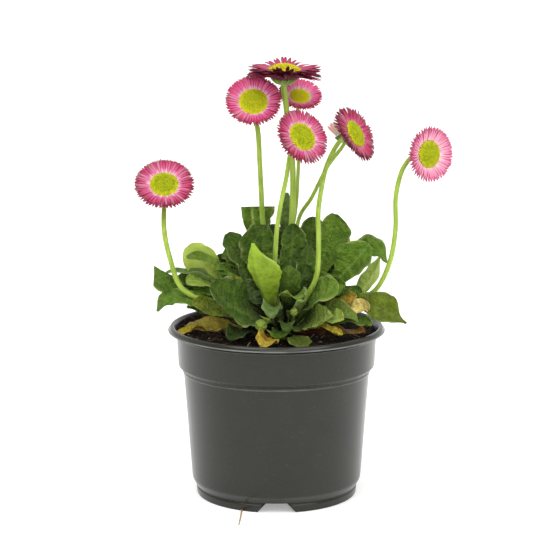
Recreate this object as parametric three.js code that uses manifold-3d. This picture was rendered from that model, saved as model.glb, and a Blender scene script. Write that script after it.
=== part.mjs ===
// Potted english daisy: a nursery pot of peat with a leafy rosette, seven open blooms and one bud.
// Millimetres, +Z up, x to the right and +y away from the side that the photograph shows.
// Everything is modelled around the pot's axis, and the whole plant is moved at the end so that
// the origin is under the middle of its bounding box.

import * as THREE from "three";
import { mergeVertices } from "three/addons/utils/BufferGeometryUtils.js";
import Module from "manifold-3d";

const wasm = await Module();
wasm.setup();

// Pot
const RIM_RADIUS = 52.5;
const POT_HEIGHT = 83.3;
const LIP_HEIGHT = 2.6;
const COLLAR_TOP_RADIUS = 48.6;
const COLLAR_BOTTOM_RADIUS = 47.5;
const COLLAR_BOTTOM = 64.3;
const BODY_TOP_RADIUS = 45.2;
const BODY_TOP = 62;
const BODY_BOTTOM_RADIUS = 40.9;
const BODY_BOTTOM = 5.2;
const FOOT_RADIUS = 39.9;
const FOOT_BOTTOM_RADIUS = 39.4;
const FOOT_STEP = 2.8;
const WALL = 1.1;
const FOOT_WALL = 2;
const FLOOR_UNDERSIDE = 4.8;
const FLOOR_TOP = 6;
const POT_SIDES = 36;
const NOTCHES = 3;
const NOTCH_TOP_WIDTH = 10;
const NOTCH_BOTTOM_WIDTH = 18.5;
const DRAIN_HOLES = 6;
const DRAIN_RADIUS = 4;
const DRAIN_CIRCLE = 27;

// Soil and crown
const GAP = 0.3;
const SOIL_LEVEL = 77;
const SOIL_SIDES = 30;
const CROWN_HOLE_RADIUS = 7.5;
const CROWN_HOLE_BOTTOM = 68;
const CROWN = new THREE.Vector3(3, 0, 0);
const CROWN_TOP = 89;

// Leaves
const BLADE_THICKNESS = 0.8;
const LEAF_ACROSS = 4;
const PETIOLE_WIDTH = 2.2;

// Blooms
const RAYS_PER_LAYER = 18;
const RAY_THICKNESS = 0.7;
const BRACTS = 9;
const CUP_TOP = -2.1;
const CUP_HEIGHT = 3;
const FLORETS_AROUND = 16;
const STALK_SIDES = 6;

const COLOURS = {
  pot: 0x3f403c,
  soil: 0x2a1e17,
  crown: 0x6f8a35,
  strand: 0xb08a52,
  leaf: 0x4f7436,
  dark: 0x3c5a30,
  grey: 0x66824f,
  light: 0x8fac4c,
  olive: 0x7d8c35,
  withered: 0xb8962e,
  stalk: 0x9db84a,
  rays: 0xb8407a,
  pale: 0xd888ac,
  crimson: 0x8c1f4b,
  disc: 0xc2bb2e,
};

const rad = THREE.MathUtils.degToRad;
const up = new THREE.Vector3(0, 0, 1);
const plant = new THREE.Group();
plant.name = "potted_english_daisy";

function add(name, geometry, colour, roughness = 0.6) {
  const material = new THREE.MeshStandardMaterial({ color: colour, roughness, metalness: 0 });
  const mesh = new THREE.Mesh(geometry, material);
  mesh.name = name;
  plant.add(mesh);
}

// A small repeatable random number generator.
function seeded(seed) {
  let state = seed * 7919 + 17;
  return () => {
    state = (state * 48271) % 2147483647;
    return state / 2147483647;
  };
}

// A unit vector from an azimuth and an elevation in degrees.
function direction(azimuth, elevation) {
  const a = rad(azimuth);
  const e = rad(elevation);
  return new THREE.Vector3(Math.cos(a) * Math.cos(e), Math.sin(a) * Math.cos(e), Math.sin(e));
}

function indexed(points, faces) {
  const geometry = new THREE.BufferGeometry();
  const numbers = points.flatMap((p) => [p.x, p.y, p.z]);
  geometry.setAttribute("position", new THREE.Float32BufferAttribute(numbers, 3));
  geometry.setIndex(faces.flat());
  return geometry;
}

function toSolid(geometry) {
  const bare = geometry.clone();
  bare.deleteAttribute("normal");
  bare.deleteAttribute("uv");
  const merged = mergeVertices(bare, 1e-4);
  return new wasm.Manifold(
    new wasm.Mesh({
      numProp: 3,
      vertProperties: new Float32Array(merged.attributes.position.array),
      triVerts: new Uint32Array(merged.index.array),
    }),
  );
}

function fromSolid(solid) {
  const mesh = solid.getMesh();
  const geometry = new THREE.BufferGeometry();
  geometry.setAttribute("position", new THREE.BufferAttribute(new Float32Array(mesh.vertProperties), 3));
  geometry.setIndex(new THREE.BufferAttribute(new Uint32Array(mesh.triVerts), 1));
  return geometry;
}

function union(geometries) {
  return fromSolid(geometries.map(toSolid).reduce((whole, next) => whole.add(next)));
}

function subtract(geometry, cutters) {
  return fromSolid(cutters.map(toSolid).reduce((whole, next) => whole.subtract(next), toSolid(geometry)));
}

// A round solid from rings of [radius, height], ordered from the underside's middle to the top's.
// Each ring is a function of the position around, so that edges can be toothed or knobbly. Where
// bumps alternate, each four corners are split between the two low ones, so that bumps stay apart.
function ringSolid(around, rings, bumps = false) {
  const points = [];
  const faces = [];
  const last = rings.length - 1;
  const polar = (i, radius, z) => {
    const angle = (2 * Math.PI * i) / around;
    return new THREE.Vector3(radius * Math.cos(angle), radius * Math.sin(angle), z);
  };
  points.push(new THREE.Vector3(0, 0, rings[0](0)[1]));
  for (let k = 1; k < last; k++) {
    for (let i = 0; i < around; i++) {
      points.push(polar(i, ...rings[k](i)));
    }
  }
  points.push(new THREE.Vector3(0, 0, rings[last](0)[1]));
  const at = (k, i) => 1 + (k - 1) * around + (i % around);
  for (let i = 0; i < around; i++) {
    faces.push([0, at(1, i + 1), at(1, i)]);
    for (let k = 1; k < last - 1; k++) {
      const [a, b, c, d] = [at(k, i), at(k, i + 1), at(k + 1, i + 1), at(k + 1, i)];
      if (bumps && (i + k) % 2 === 0) faces.push([a, b, d], [b, c, d]);
      else faces.push([a, b, c], [a, c, d]);
    }
    faces.push([at(last - 1, i), at(last - 1, i + 1), points.length - 1]);
  }
  return indexed(points, faces);
}

// A tube with closed ends along a smooth curve through the points.
function tube(points, radius, sides, steps) {
  const shape = new THREE.Shape();
  for (let i = 0; i < sides; i++) {
    const angle = (2 * Math.PI * i) / sides;
    const x = radius * Math.cos(angle);
    const y = radius * Math.sin(angle);
    if (i === 0) shape.moveTo(x, y);
    else shape.lineTo(x, y);
  }
  shape.closePath();
  const path = new THREE.CatmullRomCurve3(points, false, "centripetal");
  return new THREE.ExtrudeGeometry(shape, { steps, extrudePath: path, bevelEnabled: false });
}

// Turns a piece modelled along +Z to face a direction, and moves it to its place.
function faceTowards(geometry, facing, place) {
  const turn = new THREE.Quaternion().setFromUnitVectors(up, facing);
  geometry.applyQuaternion(turn);
  geometry.translate(place.x, place.y, place.z);
  return geometry;
}

function pot() {
  const top = POT_HEIGHT;
  const lipBottom = POT_HEIGHT - LIP_HEIGHT;
  const innerFoot = FOOT_BOTTOM_RADIUS - FOOT_WALL;
  const profile = [
    [0, FLOOR_UNDERSIDE],
    [innerFoot, FLOOR_UNDERSIDE],
    [innerFoot, 0],
    [FOOT_BOTTOM_RADIUS, 0],
    [FOOT_RADIUS, FOOT_STEP],
    [BODY_BOTTOM_RADIUS, BODY_BOTTOM],
    [BODY_TOP_RADIUS, BODY_TOP],
    [COLLAR_BOTTOM_RADIUS, COLLAR_BOTTOM],
    [COLLAR_TOP_RADIUS, lipBottom],
    [RIM_RADIUS - 0.6, lipBottom],
    [RIM_RADIUS, lipBottom + 0.8],
    [RIM_RADIUS - 0.5, top - 0.4],
    [RIM_RADIUS - 2, top],
    [COLLAR_TOP_RADIUS - WALL + 0.4, top - 1.2],
    [COLLAR_BOTTOM_RADIUS - WALL, COLLAR_BOTTOM + 1],
    [BODY_TOP_RADIUS - WALL, BODY_TOP + 1],
    [BODY_BOTTOM_RADIUS - WALL, FLOOR_TOP],
    [0, FLOOR_TOP],
  ];
  const shell = new THREE.LatheGeometry(
    profile.map(([r, z]) => new THREE.Vector2(r, z)),
    POT_SIDES,
  );
  shell.rotateX(Math.PI / 2);
  const cutters = [];
  for (let i = 0; i < NOTCHES; i++) {
    const shape = new THREE.Shape();
    shape.moveTo(-NOTCH_BOTTOM_WIDTH / 2 - 1, -1);
    shape.lineTo(NOTCH_BOTTOM_WIDTH / 2 + 1, -1);
    shape.lineTo(NOTCH_TOP_WIDTH / 2, FLOOR_UNDERSIDE);
    shape.lineTo(-NOTCH_TOP_WIDTH / 2, FLOOR_UNDERSIDE);
    shape.closePath();
    const cutter = new THREE.ExtrudeGeometry(shape, { depth: 12, bevelEnabled: false });
    cutter.rotateX(Math.PI / 2);
    cutter.translate(0, -FOOT_BOTTOM_RADIUS + 8, 0);
    cutter.rotateZ((2 * Math.PI * i) / NOTCHES);
    cutters.push(cutter);
  }
  for (let i = 0; i < DRAIN_HOLES; i++) {
    const hole = new THREE.CylinderGeometry(DRAIN_RADIUS, DRAIN_RADIUS, 6, 8);
    hole.rotateX(Math.PI / 2);
    hole.translate(DRAIN_CIRCLE, 0, (FLOOR_UNDERSIDE + FLOOR_TOP) / 2);
    hole.rotateZ((2 * Math.PI * (i + 0.5)) / DRAIN_HOLES);
    cutters.push(hole);
  }
  add("pot", subtract(shell, cutters), COLOURS.pot, 0.45);
}

// The peat's top: gentle hummocks, flat where it meets the crown.
function soilHeight(x, y) {
  const away = Math.hypot(x - CROWN.x, y - CROWN.y);
  const rise = THREE.MathUtils.smoothstep(away, CROWN_HOLE_RADIUS, CROWN_HOLE_RADIUS + 6);
  const broad = 0.7 * Math.sin(x * 0.21 + 1) * Math.cos(y * 0.17);
  const narrow = 0.5 * Math.sin(x * 0.5 - y * 0.4);
  return SOIL_LEVEL + rise * (broad + narrow);
}

function soil() {
  const bottomRadius = BODY_BOTTOM_RADIUS - WALL - GAP;
  const bodyRadius = BODY_TOP_RADIUS - WALL - GAP;
  const collarRadius = COLLAR_BOTTOM_RADIUS - WALL - GAP;
  const topRadius = collarRadius + 0.5;
  const profile = [
    [0, FLOOR_TOP + GAP],
    [bottomRadius, FLOOR_TOP + GAP],
    [bodyRadius, BODY_TOP + 1],
    [collarRadius - 0.1, COLLAR_BOTTOM + 1.2],
    [topRadius, SOIL_LEVEL],
    [37, SOIL_LEVEL],
    [28, SOIL_LEVEL],
    [19, SOIL_LEVEL],
    [10, SOIL_LEVEL],
    [0, SOIL_LEVEL],
  ];
  const peat = new THREE.LatheGeometry(
    profile.map(([r, z]) => new THREE.Vector2(r, z)),
    SOIL_SIDES,
  );
  peat.rotateX(Math.PI / 2);
  const position = peat.attributes.position;
  for (let i = 0; i < position.count; i++) {
    if (position.getZ(i) < SOIL_LEVEL - 0.1) continue;
    position.setZ(i, soilHeight(position.getX(i), position.getY(i)));
  }
  const hole = new THREE.CylinderGeometry(CROWN_HOLE_RADIUS, CROWN_HOLE_RADIUS, 20, 12);
  hole.rotateX(Math.PI / 2);
  hole.translate(CROWN.x, CROWN.y, CROWN_HOLE_BOTTOM + 10);
  add("soil", subtract(peat, [hole]), COLOURS.soil, 0.95);
}

// How far the crown's skin is from its axis at a height: a low knob that narrows to its top.
function crownRadius(z) {
  const t = THREE.MathUtils.clamp((z - SOIL_LEVEL) / (CROWN_TOP - SOIL_LEVEL), 0, 1);
  return 7 * Math.sqrt(1 - 0.75 * t * t);
}

function crownKnob() {
  const knobbly = (i, k) => 0.95 + 0.05 * Math.sin(i * 2.4 + k * 1.9);
  const level = (z) => (i) => [crownRadius(z) * knobbly(i, z), z];
  const base = CROWN_HOLE_BOTTOM + GAP;
  const knob = ringSolid(10, [
    () => [0, base],
    () => [5.5, base],
    level(76),
    level(80),
    level(85),
    level(CROWN_TOP),
    () => [0, CROWN_TOP + 0.5],
  ]);
  knob.translate(CROWN.x, CROWN.y, 0);
  return knob;
}

// Half the width of a leaf at t from 0 at the crown to 1 at the tip: a spoon-shaped blade on a
// winged petiole. The point is 0.5 for a round tip, less for a blunt one and more for a sharp one.
function halfWidth(leaf, t) {
  const s = Math.max(0, (t - leaf.stem) / (1 - leaf.stem));
  const point = leaf.point ?? 0.5;
  const swell = leaf.swell ?? 1.1;
  const peak = swell / (swell + point);
  const most = Math.pow(peak, swell) * Math.pow(1 - peak, point);
  const blade = (Math.pow(s, swell) * Math.pow(1 - s, point)) / most;
  const petiole = PETIOLE_WIDTH / 2;
  return petiole + (leaf.width / 2 - petiole) * blade - 0.6 * petiole * s * s;
}

// The middle of a leaf's blade as a function of t along it and v from -1 to 1 across it. It rises
// from the crown, arches over to its tip, rolls about its rib, and is cupped and waved at the edge.
// A skewed leaf has one edge shorter than the other, so that its end runs slantwise.
function leafSurface(leaf) {
  const tip = new THREE.Vector3(...leaf.tip);
  const [azimuth, height] = leaf.root;
  const [rise, droop] = leaf.rise;
  const away = crownRadius(height) + GAP - (leaf.sunk ?? 0);
  const root = CROWN.clone().addScaledVector(direction(azimuth, 0), away);
  root.z = height;
  const reach = root.distanceTo(tip);
  const heading = leaf.heading ?? (180 / Math.PI) * Math.atan2(tip.y - root.y, tip.x - root.x);
  const first = root.clone().addScaledVector(direction(azimuth, rise), reach * 0.4);
  const last = tip.clone().addScaledVector(direction(heading, droop), -reach * 0.35);
  const rib = new THREE.CubicBezierCurve3(root, first, last, tip);
  const level = new THREE.Vector3(-Math.sin(rad(heading)), Math.cos(rad(heading)), 0);
  const skew = leaf.skew ?? 0;
  return (t, v) => {
    const along = rib.getTangent(t);
    const side = level.clone().addScaledVector(along, -level.dot(along)).normalize();
    const face = along.clone().cross(side);
    const roll = rad(leaf.roll) * THREE.MathUtils.smoothstep(t, 0, 0.6);
    const across = side.clone().multiplyScalar(Math.cos(roll)).addScaledVector(face, -Math.sin(roll));
    const out = face.multiplyScalar(Math.cos(roll)).addScaledVector(side, Math.sin(roll));
    const half = halfWidth(leaf, t);
    const wave = 0.1 * Math.sin(9 * t + 2.5 * Math.sign(v) + azimuth) * t;
    const lift = half * (leaf.cup + wave) * v * v;
    const shorter = 1 - Math.abs(skew) * (1 + Math.sign(skew) * v) * 0.5 * t;
    return rib.getPoint(t * shorter).addScaledVector(across, half * v).addScaledVector(out, lift);
  };
}

// A closed blade of even thickness about a surface. Both faces are split into triangles alike.
function bladeSolid(surface, stations, across, thickness) {
  const points = [];
  const faces = [];
  const row = across + 1;
  const step = 0.01;
  for (const side of [0.5, -0.5]) {
    for (const t of stations) {
      for (let j = 0; j <= across; j++) {
        const v = (2 * j) / across - 1;
        const middle = surface(t, v);
        const along = surface(Math.min(1, t + step), v).sub(surface(Math.max(0, t - step), v));
        const sideways = surface(t, Math.min(1, v + step)).sub(surface(t, Math.max(-1, v - step)));
        const normal = along.cross(sideways).normalize();
        points.push(middle.addScaledVector(normal, side * thickness));
      }
    }
  }
  const sheet = stations.length * row;
  const at = (i, j, under) => i * row + j + (under ? sheet : 0);
  const quad = (a, b, c, d) => faces.push([a, b, c], [a, c, d]);
  for (let i = 0; i < stations.length - 1; i++) {
    for (let j = 0; j < across; j++) {
      quad(at(i, j), at(i + 1, j), at(i + 1, j + 1), at(i, j + 1));
      quad(at(i, j, 1), at(i, j + 1, 1), at(i + 1, j + 1, 1), at(i + 1, j, 1));
    }
    quad(at(i, 0), at(i, 0, 1), at(i + 1, 0, 1), at(i + 1, 0));
    quad(at(i, across), at(i + 1, across), at(i + 1, across, 1), at(i, across, 1));
  }
  const end = stations.length - 1;
  for (let j = 0; j < across; j++) {
    quad(at(0, j), at(0, j + 1), at(0, j + 1, 1), at(0, j, 1));
    quad(at(end, j), at(end, j, 1), at(end, j + 1, 1), at(end, j + 1));
  }
  return indexed(points, faces);
}

function leafStations(leaf) {
  const blade = [0.18, 0.4, 0.62, 0.82, 0.95, 1].map((s) => leaf.stem + (1 - leaf.stem) * s);
  return [0, leaf.stem, ...blade];
}

function leafSolid(leaf) {
  return bladeSolid(leafSurface(leaf), leafStations(leaf), LEAF_ACROSS, BLADE_THICKNESS);
}

// Each leaf: its tip; the azimuth and height where it leaves the crown; how steeply it rises there
// and at its tip, in degrees; its greatest width; the roll about its rib; how much it is cupped; and
// how far its petiole reaches before the blade, as a part of the whole.
const LEAVES = {
  left_far: {
    tip: [-60, -4, 108], root: [170, 83.5], rise: [25, 25],
    width: 13, roll: 50, cup: 0.1, stem: 0.4, point: 0.3, tone: "leaf",
  },
  left_drooping: {
    tip: [-57, -13, 92], root: [190, 81.5], rise: [22, -55],
    width: 11, roll: 40, cup: 0.1, stem: 0.4, tone: "leaf",
  },
  left_spoon: {
    tip: [-42, 5, 119], root: [162, 86], rise: [32, 50],
    width: 18, roll: 78, cup: 0.3, stem: 0.55, point: 0.4, swell: 0.9, tone: "light",
  },
  left_level: {
    tip: [-53, -4, 110], root: [190, 85.5], rise: [38, 0],
    width: 9, roll: 5, cup: 0.2, stem: 0.4, tone: "grey",
  },
  left_olive: {
    tip: [-40, -19, 97], root: [218, 81.5], rise: [25, 8],
    width: 13, roll: 55, cup: 0.1, stem: 0.2, tone: "olive",
  },
  front_left_broad: {
    tip: [-27, -26, 110], root: [226, 83], rise: [30, 65],
    width: 21, roll: 62, cup: 0.1, stem: 0.05, point: 0.4, tone: "dark",
  },
  withered_left: {
    tip: [-43, -5, 81], root: [182, 79], rise: [12, -12],
    width: 11, roll: 35, cup: 0.25, stem: 0.2, tone: "withered",
  },
  front_left_low: {
    tip: [-17, -24, 80], root: [228, 79], rise: [15, -25],
    width: 11, roll: 10, cup: 0.1, stem: 0.1, tone: "dark",
  },
  front_light: {
    tip: [-8.5, -25, 127], root: [246, 85], rise: [48, 85],
    width: 20, roll: -5, cup: 0.15, stem: 0.1, point: 0.6, skew: 0.25, tone: "light",
  },
  front_curled: {
    tip: [-3, -38, 92], root: [262, 81.5], rise: [50, -70],
    width: 12, roll: 0, cup: 0.2, stem: 0.1, tone: "grey",
  },
  front_left_small: {
    tip: [-18, -6, 106], root: [208, 88.5], rise: [40, 60],
    width: 10, roll: 50, cup: 0.2, stem: 0.2, tone: "grey",
  },
  back_left_toothed: {
    tip: [-28, 16, 126], root: [146, 87], rise: [45, 55],
    width: 16, roll: 60, cup: 0.1, stem: 0.3, tone: "dark",
  },
  back_left_broad: {
    tip: [-14, 2.5, 130], root: [149, 89], rise: [60, 75],
    width: 19, roll: 10, cup: 0.1, stem: 0.3, point: 0.35, heading: 110, tone: "dark",
  },
  back_tall: {
    tip: [-10, 28, 137], root: [118, 85.5], rise: [55, 85],
    width: 17, roll: 0, cup: 0.1, stem: 0.4, point: 0.15, heading: 100, tone: "leaf",
  },
  back_narrow: {
    tip: [4, 32, 141], root: [92, 85.8], rise: [55, 85],
    width: 6, roll: 0, cup: 0.1, stem: 0.4, tone: "grey",
  },
  middle_tall: {
    tip: [9, 5, 134], root: [285, 88.5], rise: [80, 88],
    width: 14, roll: 0, cup: 0.1, stem: 0.2, heading: 90, tone: "dark",
  },
  middle_right: {
    tip: [15, -3, 122], root: [320, 88], rise: [75, 88],
    width: 11, roll: -10, cup: 0.1, stem: 0.2, heading: 100, tone: "dark",
  },
  front_middle: {
    tip: [6, -21, 116], root: [282, 86], rise: [50, 80],
    width: 11, roll: 0, cup: 0.15, stem: 0.2, tone: "dark",
  },
  back_right_small: {
    tip: [18, 17, 134], root: [36.2, 88.4], rise: [65, 80],
    width: 12, roll: -15, cup: 0.1, stem: 0.3, heading: 80, tone: "dark",
  },
  back_right_broad: {
    tip: [30, 9, 136], root: [12, 87.5], rise: [50, 75],
    width: 20, roll: -55, cup: 0.1, stem: 0.3, point: 0.4, tone: "leaf",
  },
  right_spoon: {
    tip: [44, -8, 122], root: [349, 88.5], rise: [32, 50],
    width: 18, roll: -78, cup: 0.25, stem: 0.5, point: 0.4, swell: 0.9, tone: "leaf",
  },
  right_folded: {
    tip: [55, 9, 112], root: [24.4, 84.7], rise: [52, -50],
    width: 13, roll: -40, cup: 0.35, stem: 0.4, tone: "leaf",
  },
  right_upright: {
    tip: [50, 16, 115], root: [32, 81.4], rise: [5, 75],
    width: 11, roll: 80, cup: 0.1, stem: 0.55, tone: "grey",
  },
  right_low: {
    tip: [62, -16, 87], root: [342, 86], rise: [40, -35],
    width: 15, roll: -60, cup: 0.1, stem: 0.5, point: 0.9, swell: 0.8, tone: "olive",
  },
  withered_right: {
    tip: [44, -10, 91], root: [346, 80.5], rise: [30, 0],
    width: 14, roll: -60, cup: 0.3, stem: 0.3, tone: "withered",
  },
  front_right_upper: {
    tip: [33, -11.5, 105], root: [325, 84], rise: [35, 10],
    width: 15, roll: -62, cup: 0.1, stem: 0.15, tone: "leaf",
  },
  front_right_broad: {
    tip: [27, -29, 97], root: [310, 80], rise: [15, 35],
    width: 20, roll: -62, cup: 0.1, stem: 0.05, point: 0.4, tone: "dark",
  },
  front_right_low: {
    tip: [39, -25, 89], root: [328, 79.5], rise: [20, -10],
    width: 12, roll: -30, cup: 0.2, stem: 0.3, point: 0.7, tone: "dark",
  },
  front_right_edged: {
    tip: [13, -30, 101], root: [296, 83.5], rise: [40, 25],
    width: 11, roll: -40, cup: 0.2, stem: 0.1, tone: "grey",
  },
  front_olive: {
    tip: [12, -43, 80], root: [292, 79], rise: [12, -8],
    width: 12, roll: 0, cup: 0.1, stem: 0.3, tone: "olive",
  },
  withered_front: {
    tip: [-8, -42, 82], root: [248, 79], rise: [12, -10],
    width: 11, roll: 25, cup: 0.35, stem: 0.3, tone: "withered",
  },
};

// Two layers of rays seen from above: blunt blades that part near their ends, raised along the
// middle and cupped upwards, the inner layer steeper. They are one growth with the flat hub.
function rayLayers(layers, hub) {
  const points = [];
  const faces = [];
  const count = RAYS_PER_LAYER;
  const step = (2 * Math.PI) / count;
  const polar = (angle, radius, z) => {
    return new THREE.Vector3(radius * Math.cos(angle), radius * Math.sin(angle), z);
  };
  const sheets = layers.map((layer) => {
    const random = seeded(layer.seed);
    const lengths = Array.from({ length: count }, () => layer.tip * (0.95 + 0.08 * random()));
    const notch = hub + (layer.tip - hub) * 0.45;
    const slope = Math.tan(rad(layer.cup));
    return [-RAY_THICKNESS, 0].map((drop) => {
      const start = points.length;
      const place = (angle, radius, lift) => {
        points.push(polar(angle, radius, layer.base + drop + lift + (radius - hub) * slope));
      };
      for (let i = 0; i < count; i++) {
        const angle = (i + layer.phase) * step;
        place(i * step, hub, 0);
        place(angle - step / 2, notch, -0.12);
        place(angle, notch, 0.25);
        place(angle - step * 0.3, lengths[i], 0);
        place(angle + step * 0.3, lengths[i], 0);
      }
      return { start, shift: layer.phase === 0 ? 1 : 0 };
    });
  });
  const corner = (sheet, i, k) => sheet.start + ((i + count) % count) * 5 + k;
  for (const [under, over] of sheets) {
    for (let i = 0; i < count; i++) {
      const [hubA, hubB] = under.shift ? [i, i] : [i, i + 1];
      for (const [sheet, turned] of [[over, false], [under, true]]) {
        const face = (a, b, c) => faces.push(turned ? [a, c, b] : [a, b, c]);
        const valley = corner(sheet, i, 1);
        const nextValley = corner(sheet, i + 1, 1);
        const ridge = corner(sheet, i, 2);
        const left = corner(sheet, i, 3);
        const right = corner(sheet, i, 4);
        face(corner(sheet, hubA, 0), valley, ridge);
        face(corner(sheet, hubB, 0), ridge, nextValley);
        if (hubA === hubB) face(corner(sheet, i, 0), nextValley, corner(sheet, i + 1, 0));
        else face(corner(sheet, hubA, 0), ridge, corner(sheet, hubB, 0));
        face(valley, left, ridge);
        face(ridge, left, right);
        face(ridge, right, nextValley);
      }
      const rim = [[i, 1, i, 3], [i, 3, i, 4], [i, 4, i + 1, 1]];
      for (const [i0, k0, i1, k1] of rim) {
        const [a, b] = [corner(over, i0, k0), corner(over, i1, k1)];
        const [c, d] = [corner(under, i0, k0), corner(under, i1, k1)];
        faces.push([a, c, d], [a, d, b]);
      }
    }
  }
  const [[lowest, lowerTop], [upperBottom, highest]] = sheets;
  points.push(polar(0, 0, layers[0].base - RAY_THICKNESS));
  points.push(polar(0, 0, layers[1].base));
  const [below, above] = [points.length - 2, points.length - 1];
  for (let i = 0; i < count; i++) {
    faces.push([below, corner(lowest, i + 1, 0), corner(lowest, i, 0)]);
    faces.push([above, corner(highest, i, 0), corner(highest, i + 1, 0)]);
    const [a, b] = [corner(lowerTop, i, 0), corner(lowerTop, i + 1, 0)];
    const [c, d] = [corner(upperBottom, i, 0), corner(upperBottom, i + 1, 0)];
    faces.push([a, b, d], [a, d, c]);
  }
  return indexed(points, faces);
}

function rays(bloom) {
  const lower = { phase: 0, tip: bloom.radius, cup: bloom.cup, base: -1.1, seed: 3 };
  const upper = { phase: 0.5, tip: bloom.radius * 0.93, cup: bloom.cup + 9, base: 0, seed: 8 };
  return rayLayers([lower, upper], bloom.disc + 0.2);
}

// The yellow disc: a low dome whose florets stand up as bumps in alternate places.
function disc(bloom) {
  const radius = bloom.disc;
  const rise = radius * 0.38;
  const ring = (part, k) => (i) => {
    const bump = (i + k) % 2 === 0 ? 0.45 : -0.25;
    return [radius * part, GAP + 0.6 + rise * (1 - part * part) + bump];
  };
  const rings = [
    () => [0, GAP],
    () => [radius * 0.92, GAP],
    ring(1, 1),
    ring(0.82, 0),
    ring(0.62, 1),
    ring(0.42, 0),
    ring(0.22, 1),
    () => [0, GAP + 0.9 + rise],
  ];
  return ringSolid(FLORETS_AROUND, rings, true);
}

// The green cup under a head: a cone of bracts whose tips stand out all around.
function bractCup(size, stalkRadius) {
  const bottom = CUP_TOP - CUP_HEIGHT;
  const toothed = (long, short, z) => (i) => [i % 2 === 0 ? size * long : size * short, z];
  return ringSolid(BRACTS * 2, [
    () => [0, bottom - 0.5],
    () => [stalkRadius + 0.4, bottom],
    () => [size * 0.72, CUP_TOP - CUP_HEIGHT * 0.45],
    toothed(1.02, 0.8, CUP_TOP - 0.7),
    toothed(1.0, 0.78, CUP_TOP),
    () => [0, CUP_TOP],
  ]);
}

// Each open bloom: the middle of its head, where it faces (azimuth and elevation in degrees), its
// radius and its disc's, how far the rays cup up, and the points that its stalk passes.
const BLOOMS = [
  {
    name: "bloom_left", head: [-53.6, -5, 152.5], facing: [-87, 44], radius: 14.3, disc: 6.9, cup: 8,
    tone: "rays", stalk: 1.15,
    path: [
      [-3.2, -4, 85.5], [-20, -8, 92], [-36, -11.5, 97.5], [-45, -12.5, 104], [-50.5, -12.5, 119],
      [-53.5, -10, 131],
    ],
  },
  {
    name: "bloom_upper_left", head: [-11.1, 5, 191.3], facing: [-89, 36], radius: 13.9, disc: 6.9, cup: 8,
    tone: "rays", stalk: 1.1,
    path: [
      [1.5, 2.9, 90], [-3.5, 15.5, 112], [-6.6, 21, 130], [-7.4, 18, 145], [-8.4, 15, 160],
      [-9.6, 12, 177],
    ],
  },
  {
    name: "bloom_upper_right", head: [11.2, 24, 191], facing: [-79, 52], radius: 11.3, disc: 5.2, cup: 12,
    tone: "rays", stalk: 0.9,
    path: [
      [3.2, 4.8, 90], [5, 21, 112], [9.3, 28.5, 134], [10.5, 29, 150], [11, 29, 166],
    ],
  },
  {
    name: "bloom_middle", head: [12, -18, 176.8], facing: [-52, 29], radius: 13.5, disc: 6.9, cup: 8,
    tone: "rays", stalk: 1.05,
    path: [
      [1, -2.6, 90], [-1.8, -11, 105], [-0.7, -16, 118], [0.2, -18, 133], [1.8, -18, 144],
      [4.6, -15, 157], [6, -12, 166],
    ],
  },
  {
    name: "bloom_top", head: [3.7, 8, 206], facing: [-90, 80], radius: 18.4, disc: 7.9, cup: 16,
    tone: "crimson", stalk: 1.45,
    path: [
      [4, 0.3, 90], [6, 10, 112], [7.6, 13, 133], [7.8, 12, 158], [5.8, 10, 177], [4.2, 9, 192],
    ],
  },
  {
    name: "bloom_right", head: [38, 0, 176], facing: [-30, 27], radius: 14.5, disc: 7, cup: 8,
    tone: "rays", stalk: 1.15,
    path: [
      [7, -5.8, 86.5], [13.5, -12, 98], [19, -15.5, 110], [20, -14, 125], [19.8, -12, 140],
      [20.6, -8.5, 150], [24, -2, 161],
    ],
  },
  {
    name: "bloom_far_right", head: [74.2, 0, 166], facing: [-51, 4], radius: 12.9, disc: 6.5, cup: 8,
    tone: "pale", stalk: 1.15,
    path: [
      [10.6, 0.6, 84.5], [22, 2, 89.5], [37, 1, 94], [47, -4, 101], [53.5, -4, 114],
      [56.4, -3, 130], [56.9, -2, 147], [60.5, 2, 160.5],
    ],
  },
];

function stalkWithCup(bloom, cup) {
  const facing = direction(...bloom.facing);
  const head = new THREE.Vector3(...bloom.head);
  const bottom = CUP_TOP - CUP_HEIGHT;
  const points = bloom.path.map((p) => new THREE.Vector3(...p));
  points.push(head.clone().addScaledVector(facing, bottom - (bloom.neck ?? 4)));
  points.push(head.clone().addScaledVector(facing, bottom + 1));
  const stem = tube(points, bloom.stalk, STALK_SIDES, 2 * points.length);
  return union([stem, faceTowards(cup, facing, head)]);
}

function openBloom(bloom) {
  const facing = direction(...bloom.facing);
  const head = new THREE.Vector3(...bloom.head);
  add(`${bloom.name}_stalk`, stalkWithCup(bloom, bractCup(bloom.disc, bloom.stalk)), COLOURS.stalk);
  add(`${bloom.name}_rays`, faceTowards(rays(bloom), facing, head), COLOURS[bloom.tone]);
  add(`${bloom.name}_disc`, faceTowards(disc(bloom), facing, head), COLOURS.disc, 0.8);
}

const BUD = {
  head: [31, 12, 173.5], facing: [165, 55], stalk: 0.95, neck: 1.4,
  path: [
    [4.8, 2.85, 90.1], [8.5, 16.5, 112], [11.8, 24.5, 132], [17, 21, 144], [23, 17.5, 153],
    [30, 13, 164],
  ],
};

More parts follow.
